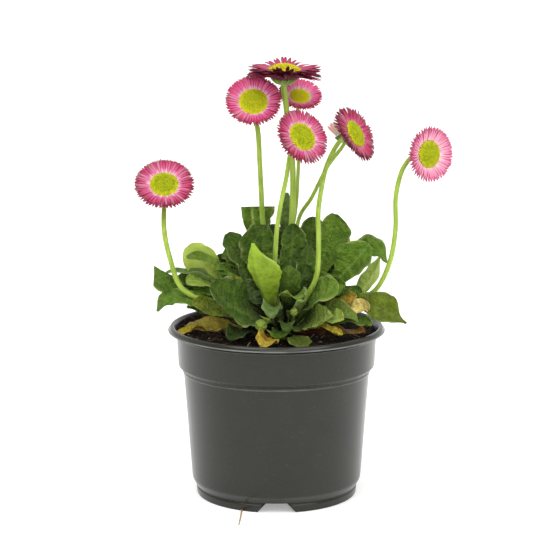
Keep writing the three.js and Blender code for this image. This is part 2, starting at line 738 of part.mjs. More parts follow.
// The half open bud: a green cup with a tuft of pale rays that still lean together.
function bud() {
  const petal = (i, k) => (i % 2 === 0 ? 1 : 0.72) + 0.05 * Math.sin(i * 3 + k);
  const tuft = ringSolid(14, [
    () => [0, CUP_TOP + GAP],
    () => [2.3, CUP_TOP + GAP],
    (i) => [3.4 * petal(i, 0), CUP_TOP + 2.2],
    (i) => [4.2 * petal(i, 1), CUP_TOP + 5.6 * petal(i, 2)],
    (i) => [2.6 * petal(i, 1), CUP_TOP + 4.6 * petal(i, 2)],
    () => [0, CUP_TOP + 2.6],
  ]);
  const facing = direction(...BUD.facing);
  const head = new THREE.Vector3(...BUD.head);
  add("bud_stalk", stalkWithCup(BUD, bractCup(3.4, BUD.stalk)), COLOURS.stalk);
  add("bud_rays", faceTowards(tuft, facing, head), COLOURS.pale);
}

// The low leaves at the back and the small inner ones are one growth with the crown.
const CROWN_LEAVES = [
  { tip: [-38, 26, 98], root: [150, 80], rise: [25, 5], width: 15, roll: 10 },
  { tip: [-20, 42, 95], root: [118, 79.5], rise: [28, -5], width: 16, roll: 0 },
  { tip: [6, 46, 97], root: [86, 79.5], rise: [28, 0], width: 17, roll: 0 },
  { tip: [32, 38, 94], root: [52, 79.5], rise: [25, -5], width: 16, roll: 0 },
  { tip: [-27, -2.8, 113.7], root: [175, 87.2], rise: [45, 70], width: 10, roll: 60 },
  { tip: [26, 28, 112], root: [50, 84], rise: [40, 40], width: 15, roll: -20 },
  { tip: [-22, 34, 112], root: [130, 83], rise: [40, 35], width: 15, roll: 10 },
  { tip: [12, 42, 116], root: [78, 83.5], rise: [42, 55], width: 14, roll: 0 },
  { tip: [1, -33, 84], root: [270, 79], rise: [20, -15], width: 12, roll: -10 },
  { tip: [-3.6, -4, 119], root: [192, 88.5], rise: [82, 88], width: 11, roll: 0, heading: 90 },
];
const CROWN_LEAF_STATIONS = [0, 0.4, 0.65, 0.85, 0.97, 1];
const CROWN_LEAF_ACROSS = 3;

// A young bud still low among the leaves, on a short stalk that is one growth with the crown.
function youngBud() {
  const radius = 2.8;
  const points = [
    new THREE.Vector3(1.6, -3, 82),
    new THREE.Vector3(-2.4, -13, 87.6),
    new THREE.Vector3(-7.4, -24.5, 88.6),
  ];
  const [, before, end] = points;
  const ball = ringSolid(8, [
    () => [0, -radius],
    () => [radius * 0.75, -radius * 0.7],
    (i) => [radius * (i % 2 === 0 ? 1 : 0.9), radius * 0.2],
    () => [radius * 0.6, radius],
    () => [0, radius * 1.2],
  ]);
  return [tube(points, 0.7, 5, 5), faceTowards(ball, end.clone().sub(before).normalize(), end)];
}

function crown() {
  const grown = CROWN_LEAVES.map((leaf) => {
    const surface = leafSurface({ cup: 0.1, stem: 0.25, sunk: 2, ...leaf });
    return bladeSolid(surface, CROWN_LEAF_STATIONS, CROWN_LEAF_ACROSS, BLADE_THICKNESS);
  });
  add("crown", union([crownKnob(), ...grown, ...youngBud()]), COLOURS.crown);
}

// A dry root that has grown out under the pot's foot and lies on the ground.
function rootStrand() {
  const points = [
    new THREE.Vector3(-16.6, -36.2, 0.6),
    new THREE.Vector3(-16.9, -44, 0.6),
    new THREE.Vector3(-16.6, -51, 0.6),
    new THREE.Vector3(-17.2, -58.8, 0.6),
  ];
  add("root_strand", tube(points, 0.45, 5, 6), COLOURS.strand, 0.9);
}

pot();
soil();
crown();
rootStrand();
BLOOMS.forEach(openBloom);
bud();
Object.entries(LEAVES).forEach(([name, leaf]) => add(`leaf_${name}`, leafSolid(leaf), COLOURS[leaf.tone]));

const box = new THREE.Box3();
for (const mesh of plant.children) {
  mesh.geometry.computeBoundingBox();
  box.union(mesh.geometry.boundingBox);
}
const middle = box.getCenter(new THREE.Vector3());
for (const mesh of plant.children) {
  mesh.geometry.translate(-middle.x, -middle.y, -box.min.z);
}

export default plant;
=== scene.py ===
"""Looks for a potted english daisy: every leaf, stalk, ray, floret and crumb of peat as a fine skin."""

import math

import bpy
import numpy as np
from bpy.props import FloatProperty, FloatVectorProperty, IntProperty, PointerProperty
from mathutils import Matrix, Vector


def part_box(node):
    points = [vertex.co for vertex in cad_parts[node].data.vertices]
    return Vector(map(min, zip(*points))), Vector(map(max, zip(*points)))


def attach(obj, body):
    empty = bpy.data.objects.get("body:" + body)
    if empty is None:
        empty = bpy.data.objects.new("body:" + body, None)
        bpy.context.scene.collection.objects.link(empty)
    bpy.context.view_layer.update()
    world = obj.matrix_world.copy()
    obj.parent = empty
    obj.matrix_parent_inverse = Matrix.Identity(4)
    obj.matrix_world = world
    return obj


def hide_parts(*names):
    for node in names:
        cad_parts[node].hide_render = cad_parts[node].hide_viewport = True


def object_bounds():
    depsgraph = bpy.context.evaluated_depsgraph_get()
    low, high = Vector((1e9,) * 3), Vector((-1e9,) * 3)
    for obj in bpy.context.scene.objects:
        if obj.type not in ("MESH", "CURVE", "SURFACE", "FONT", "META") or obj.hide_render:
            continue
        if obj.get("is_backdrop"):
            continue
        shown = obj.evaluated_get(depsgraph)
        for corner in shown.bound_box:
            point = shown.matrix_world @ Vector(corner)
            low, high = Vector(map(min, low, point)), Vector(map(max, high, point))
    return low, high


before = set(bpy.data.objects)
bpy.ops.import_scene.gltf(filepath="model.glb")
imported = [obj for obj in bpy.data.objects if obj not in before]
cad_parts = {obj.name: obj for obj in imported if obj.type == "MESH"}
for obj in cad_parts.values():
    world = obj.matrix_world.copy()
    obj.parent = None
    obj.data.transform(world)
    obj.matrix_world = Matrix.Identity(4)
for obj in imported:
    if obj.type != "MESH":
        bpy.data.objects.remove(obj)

bl_info = {
    "name": "Potted English Daisy",
    "version": (1, 0, 0),
    "blender": (4, 5, 0),
    "location": "View3D > Sidebar > Daisy",
    "description": "Grows the fine skins of a potted english daisy over its solids",
    "category": "Object",
}

CAD_BOUNDS = [list(corner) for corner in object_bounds()]
POT_LOW, POT_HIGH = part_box("pot")
# Shapes are worked out in millimetres around the pot's axis, with its foot at z = 0.
AXIS = np.array([(POT_LOW.x + POT_HIGH.x) / 2, (POT_LOW.y + POT_HIGH.y) / 2, POT_LOW.z])
MM = 0.001
GAP = 0.3                          # between the solids of a head or a leaf and what they grow from
SOIL_LEVEL, PEAT_RADIUS = 77.0, 47.8
CROWN, CROWN_TOP = np.array([3.0, 0.0, 0.0]), 89.0
CUP_TOP, CUP_BOTTOM = -2.1, -5.1   # along a head's facing, from its middle
PETIOLE = 1.1                      # half the width of a leaf's stem
SWELL, POINT = 1.1, 0.5
OUTLINE_STOPS = (0, .15, .3, .45, .6, .7, .8, .9, 1)
TOOTH_STEP, VEIN_STEP = 3.6, 5.0
GOLDEN_ANGLE = math.radians(137.508)
FLOOR_RADIUS = 14000
CAMERA_AWAY, CAMERA_HEIGHT, CAMERA_TILT = 0.984, 0.2958, 10.87
# Where each kind of piece starts its random draws.
SEEDS = dict(bud=5, peat=21, leaf=100, scrap=200, crown=300, stalk=500, cup=520, ray=700, disc=900)
# The last field is painted light and shade: above 0 lighter, below 0 darker, and partly a leaf's own tone.
FIELDS = ("along", "across", "upper", "shade", "vein", "edge", "tint")


# Leaves: tip; azimuth and height of the root; rise at the root and the tip; width, roll, cup, stem. low and high
# are half the widths of its two sides at the last of the outline's stops; before them it is all petiole.
def leaf(tip, root, rise, width, roll, cup, stem, **more):
    """One leaf's numbers as a dictionary, with the same meaning as in the solids."""
    told = dict(low=None, high=None, blunt=.9, skew=0, heading=None, sunk=0, tone="leaf", tint=0, age=0, bright=1,
                teeth=1, crinkle=.2, fold=.3, ruffle=1.3, waves=2.2)
    told.update(more, tip=tip, root=root, rise=rise, width=width, roll=roll, cup=cup, stem=stem)
    return told


# A leaf's lightening or darkening number is mostly painted light and shade for leaves lying in light or shade, and
# partly its own tone.
LEAVES = {
    "left_far": leaf((-60.1, -2, 110.6), (170, 83.5), (25, 25), 13, 50, .1, .4, crinkle=.3, blunt=.1, skew=.05,
        low=(2.2, 3, 2.4, 1.6, 2, 2.2), high=(2.7, 5.6, 8.6, 11.8, 13, 9.8)),
    "left_drooping": leaf((-57.2, -13, 92.4), (190, 81.5), (26, -70), 8, 40, .1, .4, crinkle=.3,
        low=(2, 3.2, 3.8, 3.6, 3, 2.4, 1.5), high=(2.6, 5.6, 8.9, 9, 7, 3.4, 1)),
    "left_spoon": leaf((-43.2, 5.1, 120.8), (162, 86), (32, 50), 18, 78, .3, .55, tone="light", waves=3, tint=.8,
        low=(1.5, 3.5, 6.2, 8.4, 8.4, 6.5), high=(1.3, 4, 7, 8, 8, 6)),
    "left_level": leaf((-53, -4, 110), (190, 85.5), (38, 0), 9, 5, .2, .4, tone="grey"),
    "left_olive": leaf((-40, -18.7, 97.3), (218, 81.5), (25, 8), 13, 55, .1, .2, tone="olive", age=.15, tint=-.1,
        low=(2.5, 4.2, 4.4, 4, 3.6, 3.8, 3.2), high=(2.5, 4.4, 4.6, 5.1, 5.3, 4.6, 2.6)),
    "front_left_broad": leaf((-31.1, -28.7, 108.6), (226, 83), (30, 60), 22.5, 62, .1, .05, tone="dark", blunt=.4,
        ruffle=.3, tint=-.1, low=(3.3, 6.5, 9.5, 12, 13.4, 13.6, 12.6, 10.5, 4),
        high=(2.3, 5, 9.5, 11.5, 7.8, 6.3, 6, 6, 5)),
    "withered_left": leaf((-44.4, -5, 81.6), (182, 79), (12, -12), 11, 35, .25, .2, tone="withered", crinkle=.9,
        tint=.15, low=(1.8, 2.8, 3.6, 3.9, 4.5, 4, 2.2), high=(2.2, 3.8, 4.6, 5.2, 4.6, 3.6, 2)),
    "front_left_low": leaf((-22.5, -24.5, 81), (222, 79), (15, -25), 12, 10, .1, .1, tone="dark", tint=-.5),
    "front_light": leaf((-11.4, -25.1, 127.5), (246, 85), (48, 85), 20, -5, .15, .1, tone="light", teeth=.5,
        ruffle=.5, blunt=.3, low=(1.4, 2.4, 3, 3.2, 4.2, 5, 4.4, 2.6, .2),
        high=(1.4, 2.6, 4, 7.2, 10.2, 11.5, 8.9, 3.8, .2)),
    "front_curled": leaf((-2.3, -36.2, 93.8), (262, 81.5), (50, -70), 10, 0, .2, .1, tone="grey", tint=-.15,
        low=(1.6, 4, 5, 4.8, 4.4, 4.9, 4.6, 2), high=(1.6, 2, 2.5, 3, 3.5, 3.8, 3.9, 1.9)),
    "front_left_small": leaf((-18, -6, 106), (208, 88.5), (40, 60), 10, 50, .2, .2, tone="grey"),
    "back_left_toothed": leaf((-24, 12.9, 125.8), (146, 87), (45, 55), 16, 60, .1, .3, tone="dark", teeth=2.6,
        low=(3, 4, 4.4, 5.8, 6.5, 4), high=(4.1, 6.5, 6.5, 6.7, 6, 4)),
    "back_left_broad": leaf((-6.6, 2.8, 131.7), (149, 89), (60, 75), 19, 0, .1, .3, heading=100, tone="dark",
        teeth=.5, blunt=.25, low=(3, 4, 5.1, 5.4, 4.8, 2.5), high=(4.2, 10, 12, 12.4, 11.4, 6)),
    "back_tall": leaf((-12.2, 28, 136.7), (118, 85.5), (55, 85), 17, 0, .1, .4, heading=100, blunt=0, bright=12,
        low=(1.5, 2.5, 3.6, 6.5, 10, 11.2), high=(1.5, 2.3, 3.7, 4.4, 4.9, 5.8)),
    "back_narrow": leaf((5, 32, 143), (92, 85.8), (55, 85), 6, 0, .1, .4, tone="grey"),
    "middle_tall": leaf((8, 5, 132), (285, 88.5), (80, 88), 14, 0, .1, .2, heading=90, tone="dark",
        low=(2.6, 4.7, 6.2, 7.2, 7.8, 6.5, 3), high=(2.6, 4.7, 5.3, 5.4, 5.5, 5, 3)),
    "middle_right": leaf((15, -3, 122), (320, 88), (75, 88), 11, -10, .1, .2, heading=100, tone="dark"),
    "front_middle": leaf((5.7, -21, 116), (282, 86), (50, 80), 11, 0, .15, .2, tone="dark", tint=-.15,
        low=(2.2, 3.8, 4, 4, 4.2, 4.1, 2.8), high=(2.2, 3.8, 5.7, 6.1, 6, 5, 2.4)),
    "back_right_small": leaf((18, 17, 133.3), (36.2, 88.4), (65, 80), 15, -15, .1, .3, heading=80, tone="dark"),
    "back_right_broad": leaf((28.4, 9.4, 136), (12, 87.5), (50, 75), 19, -55, .1, .3, teeth=1.1,
        low=(1.4, 4, 7.6, 9.2, 10.4, 10.2, 6), high=(1.4, 3.8, 4, 4.2, 4.6, 5.4, 4.8)),
    "right_spoon": leaf((44.4, -7.6, 123.8), (349, 88.5), (32, 50), 17, -78, .25, .5, bright=1.8,
        low=(1.5, 4.4, 6, 7.2, 7.2, 5), high=(1.3, 4.8, 7, 9.7, 9.4, 6)),
    "right_folded": leaf((54, 9.4, 111.7), (24.4, 84.7), (56, -62), 13, -40, .35, .4, ruffle=1.4,
        low=(2.5, 5.5, 5.5, 3.3, 1.5, .8), high=(2.5, 3.4, 5.2, 9.2, 5, 1.2)),
    "right_upright": leaf((51, 16.2, 114.2), (32, 81.4), (5, 75), 12, 80, .1, .55, tone="grey", tint=.5,
        low=(2, 3.2, 4.8, 4.2, 1.4), high=(2, 3, 4.5, 3, 1)),
    "right_low": leaf((62, -16, 87), (342, 86), (40, -35), 15, -60, .1, .5, tone="olive", crinkle=.3, fold=.4,
        tint=-.1, low=(2.5, 4, 5.4, 7.8, 3.6, .4), high=(2.5, 4, 7.9, 10.6, 1.3, .4)),
    "withered_right": leaf((43.6, -17, 92.9), (346, 80.5), (42, -30), 14, -45, .5, .3, tone="withered", crinkle=1.6,
        tint=.5, age=.9, low=(1.3, 2.2, 3.4, 3.8, 2.8), high=(1.3, 2.2, 3.4, 3.8, 2.8)),
    "front_right_upper": leaf((33, -11.5, 105), (325, 84), (35, 10), 15, -62, .1, .15,
        low=(2.4, 3, 3.4, 3.8, 4.5, 4.8, 3.2), high=(3.4, 5.9, 7.4, 7.9, 7.6, 5, 2.5)),
    "front_right_broad": leaf((26, -29.5, 93.5), (310, 81), (30, 10), 20, -62, .1, .05, tone="dark", tint=.3,
        low=(1.6, 5.1, 7.5, 6.4, 5.7, 5.4, 5, 4, 2.5), high=(1.6, 5, 8, 8.5, 7.8, 6.7, 5.4, 3.4, 1.2)),
    "front_right_low": leaf((38.5, -24.5, 89.5), (328, 80.5), (48, -42), 12.5, -35, .2, .3, tone="dark", tint=.15,
        low=(2, 4, 4.6, 4.8, 4.1, 1.2), high=(1.5, 4, 5, 4.8, 3.6, 2.6, 1)),
    "front_right_edged": leaf((13, -30, 101), (296, 83.5), (40, 25), 11, -40, .2, .1, tone="grey"),
    "front_olive": leaf((12, -43, 80), (292, 79), (12, -8), 12, 0, .1, .3, tone="olive", teeth=.3, ruffle=.5,
        tint=-.25),
    "withered_front": leaf((-6.3, -42, 81.4), (248, 79), (12, -10), 11, 25, .35, .3, tone="withered", crinkle=.9,
        tint=-.3, age=1.4),
}
CROWN_LEAVES = [leaf(*row, .1, .25, sunk=2) for row in (
    ((-38, 26, 98), (150, 80), (25, 5), 15, 10), ((-20, 42, 95), (118, 79.5), (28, -5), 16, 0),
    ((6, 46, 97), (86, 79.5), (28, 0), 17, 0), ((32, 38, 94), (52, 79.5), (25, -5), 16, 0),
    ((-27, -2.8, 113.7), (175, 87.2), (45, 70), 10, 60), ((26, 28, 112), (50, 84), (40, 40), 15, -20),
    ((-22, 34, 112), (130, 83), (40, 35), 15, 10), ((12, 42, 116), (78, 83.5), (42, 55), 14, 0),
    ((1, -33, 84), (270, 79), (20, -15), 12, -10))]
CROWN_LEAVES.append(leaf((-3.6, -4, 119), (192, 88.5), (82, 88), 11, 0, .1, .25, sunk=2, heading=90))
# Small leaves too thin to stand alone: they grow from the crown between the others. The darkest of them are dark
# fills, painted shade in the gaps between leaves.
SMALL_LEAVES = [
    leaf((-43.2, -4, 117), (172, 87.5), (36, -8), 5, 55, .1, .6, fold=.6, ruffle=.8, tint=.05),
    leaf((9.5, -29, 101.5), (283, 86), (62, -10), 13, 0, .2, .2, tint=.1),
    leaf((31.5, -30, 93), (318, 80), (28, 5), 9, -45, .1, .5, age=.4, tint=.35),
    leaf((-23, -4, 121.8), (182, 88.5), (60, 70), 9, 40, .1, .3, tint=-.35),
    leaf((4, -37, 88), (276, 80), (30, -25), 8, 15, .1, .3, tint=-.55),
    leaf((-1.5, 9, 131), (95, 87), (75, 88), 13, 0, .1, .2, heading=90, tint=-.75),
    leaf((-40, -5, 101.8), (182, 86), (40, -10), 10, 50, .1, .3, tint=-.15),
    leaf((33.5, -7, 102.5), (346, 86), (40, 0), 9, -60, .1, .3, tint=-.5),
    leaf((-28.5, 8.5, 116), (155, 88), (50, 55), 13, 40, .1, .3, tint=-.75),
    leaf((-30, -8, 110.6), (178, 88), (60, 5), 2.4, 60, .1, .6, age=4),
    leaf((-43.5, -6, 105.5), (176, 86.5), (36, 0), 9, 40, .1, .4, tint=.45),
    leaf((-48, -1, 106.5), (176, 86.5), (34, 5), 9, 50, .1, .4, tint=-.1),
    leaf((41, -8.5, 100.5), (346, 86.5), (32, -5), 8, -55, .1, .3, tint=-.3),
    leaf((-43, -11, 93.8), (193, 80.5), (26, 0), 7, 50, .1, .2, tint=-.25),
    leaf((29, -25, 104.5), (308, 82), (46, 0), 16, -52, .15, .2, tint=.05),
    leaf((32, 8, 119), (12, 88), (55, 60), 12, -30, .1, .3, tint=-.7),
    leaf((45.5, -17.5, 87.3), (344, 79.5), (24, -10), 6.5, -40, .1, .3, tint=-.1),
]
# Withered scraps that lie beside a withered leaf and belong to its piece.
SCRAPS = {
    "withered_right": [
        leaf((38.5, -16, 100), (346, 80.5), (44, 20), 7.5, -50, .2, .2, tone="withered", crinkle=1, tint=-.45),
        leaf((42, -20, 83), (330, 79), (10, -8), 6, -20, .2, .2, tone="withered", crinkle=1.3, tint=-.8),
        leaf((31, -29.5, 84.5), (318, 79.5), (24, -25), 3.8, -40, .1, .5, tone="withered", crinkle=.8)],
    "withered_left": [
        leaf((-47.5, -9, 80.6), (190, 79), (8, -10), 5, 20, .3, .5, tone="withered", crinkle=1.4, age=.8)],
}
# Young buds in the crown: half the width and half the length of each, then its stalk's points.
YOUNG_BUDS = [(2.9, 3.0, [(1.6, -3, 82), (-2.4, -13, 87.2), (-7.3, -24.5, 88.0)]),
              (1.7, 2.8, [(4, -5, 84), (7.6, -19, 89), (8.3, -25, 94.6)])]

# Blooms: head; azimuth and elevation that it faces; radii of the rays and the disc; cup; tone; stalk and its path.
def flower(head, facing, radius, disc, cup, tone, stalk, path, **more):
    """One bloom's numbers as a dictionary. cup is the angle of the outer rays and spread how much steeper the inner
    ones are; the lifts and the droop, in degrees too, turn the rays of one side up or down. wild makes them
    uneven and broad wider. drop lowers the outer rays and the cup, bowl is the cup's width, dome and sink shape
    the disc, ripeness yellows its florets, partly as painted light on a disc in shade, painted light lightens the
    whole head where another head would shade it, and neck is where the stalk turns into it."""
    told = dict(spread=7, front_lift=0, back_lift=0, left_lift=0, droop=0, wild=1, broad=1, drop=0, bowl=1,
                dome=0.22, sink=0, ripe=0, glow=0.0, neck=4)
    told.update(more, head=head, facing=facing, radius=radius, disc=disc, cup=cup, tone=tone, stalk=stalk, path=path)
    return told


# The two upper heads get painted light where the top head would shade them; upper_right's fully yellow disc is painted
# light too.
BLOOMS = {
    "left": flower((-53.5, -5, 152.4), (-87, 44), 14.9, 6.9, 10, "pink", 1.2, [(-3.2, -4, 85.5), (-20, -8, 92),
        (-36, -11.5, 97.5), (-45.6, -12.5, 104), (-51, -12.5, 119), (-53.5, -10, 131)], front_lift=5, sink=0.5),
    "upper_left": flower((-11.1, 5, 190.9), (-89, 36), 14.0, 7.0, 20, "pink", 1.22, [(1.5, 2.9, 90), (-3.5, 15.5, 112),
        (-6.6, 21, 130), (-7.4, 18, 145), (-8.1, 15, 160), (-9.1, 12, 177)], sink=0.5, glow=0.45),
    "upper_right": flower((11.4, 24, 191.6), (-79, 52), 11.3, 5.2, 19, "pink", 0.9, [(3.2, 4.8, 90), (5, 21, 112),
        (9.3, 28.5, 134), (10.5, 29, 150), (11, 29, 166)], front_lift=8, sink=0.5, ripe=1, glow=0.95),
    "middle": flower((11.9, -18, 176.8), (-54, 29), 14.2, 6.9, 12, "pink", 1.05, [(1, -2.6, 90), (-1.8, -11, 105),
        (-0.7, -16, 118), (0.2, -18, 133), (1.8, -18, 144), (4.6, -15, 157), (6, -12, 166)], sink=0.3),
    "top": flower((3.7, 8, 205.3), (-84, 84), 18.8, 8.0, -5, "crimson", 1.45, [(4, 0.3, 90), (6, 10, 112),
        (7.6, 13, 133), (7.8, 12, 158), (5.8, 10, 177), (4.2, 9, 192)], spread=18, front_lift=34, back_lift=13,
        droop=22, dome=0.34, ripe=1, wild=2.4, drop=1.1, bowl=0.74, broad=1.05),
    "right": flower((37.3, 0, 176), (-30, 27), 14.9, 6.6, 10, "deep", 1.15, [(7, -5.8, 86.5), (13.5, -12, 98),
        (19, -15.5, 110), (20, -14, 125), (19.8, -12, 140), (21.2, -8.5, 150), (24, -2, 161)], front_lift=13,
        left_lift=-13, wild=1.6),
    "far_right": flower((72.6, 0, 166.4), (-54, 4), 13.7, 6.4, 22, "pale", 1.15, [(10.6, 0.6, 84.5), (22, 2, 89.5),
        (37, 1, 94), (47.6, -4, 101), (54.2, -4, 114), (57, -3, 130), (57.2, -2, 147), (60.9, 2, 159.7)]),
}
BUD = flower((28.8, 11, 176), (165, 52), None, 2.1, None, "cream", 0.95, [(4.8, 2.85, 90.1), (8.2, 16.5, 112),
            (11.3, 24.5, 132), (17, 20, 142), (25, 15, 158.8)], neck=1.4)
ROOT_STRAND = [(-16.5, -36.2, 0.6), (-16.8, -44, 0.6), (-17.1, -51, 0.6), (-17.5, -58.8, 0.6)]


# Arithmetic on whole arrays

def turns(count):
    """So many angles, evenly round a full turn."""
    return np.linspace(0, 2 * np.pi, count, endpoint=False)


def smoothstep(x, low, high):
    """0 below low, 1 above high, and 3t^2 - 2t^3 between them, t being the part of the way."""
    t = np.clip((x - low) / (high - low), 0, 1)
    return t * t * (3 - 2 * t)


def unit(v):
    """Vectors divided by their lengths."""
    return v / np.maximum(np.linalg.norm(v, axis=-1, keepdims=True), 1e-12)


def heading_vector(azimuth, elevation):
    """Unit vector: cosines of azimuth and elevation multiplied for x and y, sine of elevation for z."""
    a, e = np.radians(azimuth), np.radians(elevation)
    return np.stack([np.cos(a) * np.cos(e), np.sin(a) * np.cos(e), np.sin(e) + 0 * a], axis=-1)


def lumps(x, y, size, seed):
    """Smooth noise from -1 to 1: random numbers on a square lattice of the given size, blended between corners."""
    lattice = np.random.default_rng(seed).uniform(-1, 1, (64, 64))
    u, v = np.asarray(x) / size + 1000, np.asarray(y) / size + 1000
    i, j = np.floor(u).astype(int), np.floor(v).astype(int)
    a, b = smoothstep(u - i, 0, 1), smoothstep(v - j, 0, 1)
    corner = lambda di, dj: lattice[(i + di) % len(lattice), (j + dj) % len(lattice)]
    return (corner(0, 0) * (1 - a) + corner(1, 0) * a) * (1 - b) + (corner(0, 1) * (1 - a) + corner(1, 1) * a) * b


def seat(bloom):
    """The way that a bloom faces, as a unit vector, and the place of its head."""
    return heading_vector(*bloom["facing"]), np.array(bloom["head"], float)


def turned(points, facing, place):
    """Points modelled along +Z, turned to face a direction by the shortest turn and moved to a place."""
    x, y, z = facing
    cross = np.array([[0, 0, x], [0, 0, y], [-x, -y, 0]])
    turn = np.eye(3) + cross + cross @ cross / (1 + z)
    return points @ turn.T + np.asarray(place, float)


def smooth_path(points, count):
    """Centripetal Catmull-Rom curve: each cubic leaves and enters its knots with slopes weighed by the
    square roots of the chord lengths around them, and the ends are mirrored outwards."""
    p = np.asarray(points, float)
    q = np.vstack([2 * p[0] - p[1], p, 2 * p[-1] - p[-2]])
    chord = np.linalg.norm(np.diff(q, axis=0), axis=1)[:, None] ** 0.5
    u = np.linspace(0, len(p) - 1, count)
    k = np.minimum(u.astype(int), len(p) - 2)
    w = (u - k)[:, None]
    a, b, c, d = q[k], q[k + 1], q[k + 2], q[k + 3]
    e, f, g = chord[k], chord[k + 1], chord[k + 2]
    leave = f * ((b - a) / e - (c - a) / (e + f) + (c - b) / f)
    enter = f * ((c - b) / f - (d - b) / (f + g) + (d - c) / g)
    return b + leave * w + (3 * (c - b) - 2 * leave - enter) * w**2 + (2 * (b - c) + leave + enter) * w**3


def path_frame(path):
    """Tangents, and two unit vectors square to them; the first stays near the normal of the path's plane."""
    tangent = unit(np.gradient(path, axis=0))
    plane = np.cross(path[-1] - path[0], path[len(path) // 2] - path[0])
    plane = unit(plane + 1e-3 * np.array([0.3, 1.0, 0.2]))
    side = unit(plane - tangent * (tangent @ plane)[:, None])
    return tangent, side, np.cross(tangent, side)


# Skins

class Growth:
    """Gathers closed skins, each a stack of rings, and makes one mesh of them."""

    def __init__(self):
        self.points, self.quads, self.tris = [], [], []
        self.fields = {name: [] for name in FIELDS}
        self.count = 0

    def add(self, rings, ends=None, **fields):
        """Adds n skins of one layout from rings[n, row, column]. Each four neighbours make a face, columns wrap
        round, and a point in the middle of each end closes it. fields hold a number for each point."""
        n, rows, cols = rings.shape[:3]
        caps = rings[:, [0, -1]].mean(axis=2) if ends is None else ends
        points = np.concatenate([rings.reshape(n, -1, 3), caps], axis=1)
        size = points.shape[1]
        i, j = cols * np.arange(rows - 1)[:, None], np.arange(cols)
        k = (j + 1) % cols
        quads = np.stack([i + j, i + k, i + cols + k, i + cols + j], -1).reshape(-1, 4)
        foot, head = np.full(cols, size - 2), np.full(cols, size - 1)
        last = (rows - 1) * cols
        tris = np.concatenate([np.stack([k, j, foot], 1), np.stack([last + j, last + k, head], 1)])
        a, b, c = points[0][np.concatenate([quads[:, [0, 1, 2]], quads[:, [0, 2, 3]], tris])].transpose(1, 0, 2)
        if np.einsum("ij,ij->", a, np.cross(b, c)) < 0:
            quads, tris = quads[:, ::-1], tris[:, ::-1]
        shift = (self.count + size * np.arange(n))[:, None, None]
        self.points.append(points.reshape(-1, 3))
        self.quads.append((quads + shift).reshape(-1, 4))
        self.tris.append((tris + shift).reshape(-1, 3))
        self.count += n * size
        for name in FIELDS:
            value = np.broadcast_to(np.asarray(fields.get(name, 0.0), float), (n, rows, cols))
            ended = value[:, [0, -1]].mean(axis=2)
            self.fields[name].append(np.concatenate([value.reshape(n, -1), ended], axis=1).ravel())

    def mesh(self, name):
        """One mesh of all skins, moved from the pot's axis to the row frame and turned into metres."""
        points = np.concatenate(self.points) * MM + AXIS
        quads, tris = np.concatenate(self.quads), np.concatenate(self.tris)
        mesh = bpy.data.meshes.new(name)
        mesh.vertices.add(len(points))
        mesh.vertices.foreach_set("co", points.ravel().astype(np.float32))
        corners = np.concatenate([quads.ravel(), tris.ravel()])
        starts = np.concatenate([4 * np.arange(len(quads)), 4 * len(quads) + 3 * np.arange(len(tris))])
        mesh.loops.add(len(corners))
        mesh.loops.foreach_set("vertex_index", corners.astype(np.int32))
        mesh.polygons.add(len(starts))
        mesh.polygons.foreach_set("loop_start", starts.astype(np.int32))
        mesh.polygons.foreach_set("use_smooth", np.ones(len(starts), bool))
        for field, values in self.fields.items():
            layer = mesh.attributes.new(field, "FLOAT", "POINT")
            layer.data.foreach_set("value", np.concatenate(values).astype(np.float32))
        mesh.update(calc_edges=True)
        return mesh

    def piece(self, name, material, slot, nodes):
        """The mesh as an object that rides on the root body and stands for its CAD nodes."""
        mesh = self.mesh(name)
        mesh.materials.append(material)
        piece = bpy.data.objects.new(name, mesh)
        bpy.context.scene.collection.objects.link(piece)
        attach(piece, "root")
        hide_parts(*nodes)
        return piece


def revolved(profile, angles):
    """A profile of (radius, height) carried round the axis: radius times cosine and sine, and the height."""
    profile = np.asarray(profile, float)
    r, z = profile[:, 0, None], profile[:, 1, None]
    return np.stack([r * np.cos(angles), r * np.sin(angles), z + 0 * angles], axis=-1)


def rounded(profile, radius):
    """The profile with each corner cut back by the radius and bowed through a quadratic curve."""
    p = np.asarray(profile, float)
    before, after = p[:-2] - p[1:-1], p[2:] - p[1:-1]
    reach = lambda d: np.minimum(radius, 0.4 * np.linalg.norm(d, axis=1))[:, None] * unit(d)
    a, c = p[1:-1] + reach(before), p[1:-1] + reach(after)
    middle = 0.25 * a + 0.5 * p[1:-1] + 0.25 * c
    return np.concatenate([p[:1], np.stack([a, middle, c], 1).reshape(-1, 2), p[-1:]])


def tube_rings(path, radius, columns, ridges=0, depth=0.0):
    """Rings round a path: its two square vectors times cosine and sine of the angle times the radius,
    which ripples by the depth so many times round."""
    _, side, other = path_frame(path)
    angle = turns(columns)
    r = np.broadcast_to(radius, (len(path),))[:, None] * (1 + depth * np.cos(ridges * angle))
    return (path[:, None] + r[..., None] * (np.cos(angle)[:, None] * side[:, None]
                                            + np.sin(angle)[:, None] * other[:, None]))[None]


# Materials

def srgb(r, g, b):
    """A colour of 0 to 255 as linear light with alpha."""
    c = np.array([r, g, b]) / 255
    return (*np.where(c <= 0.04045, c / 12.92, ((c + 0.055) / 1.055) ** 2.4), 1.0)


def scaled(colour, by):
    """A colour made so many times as bright, up to white."""
    return tuple(min(1, by * c) for c in colour[:3]) + (1,)


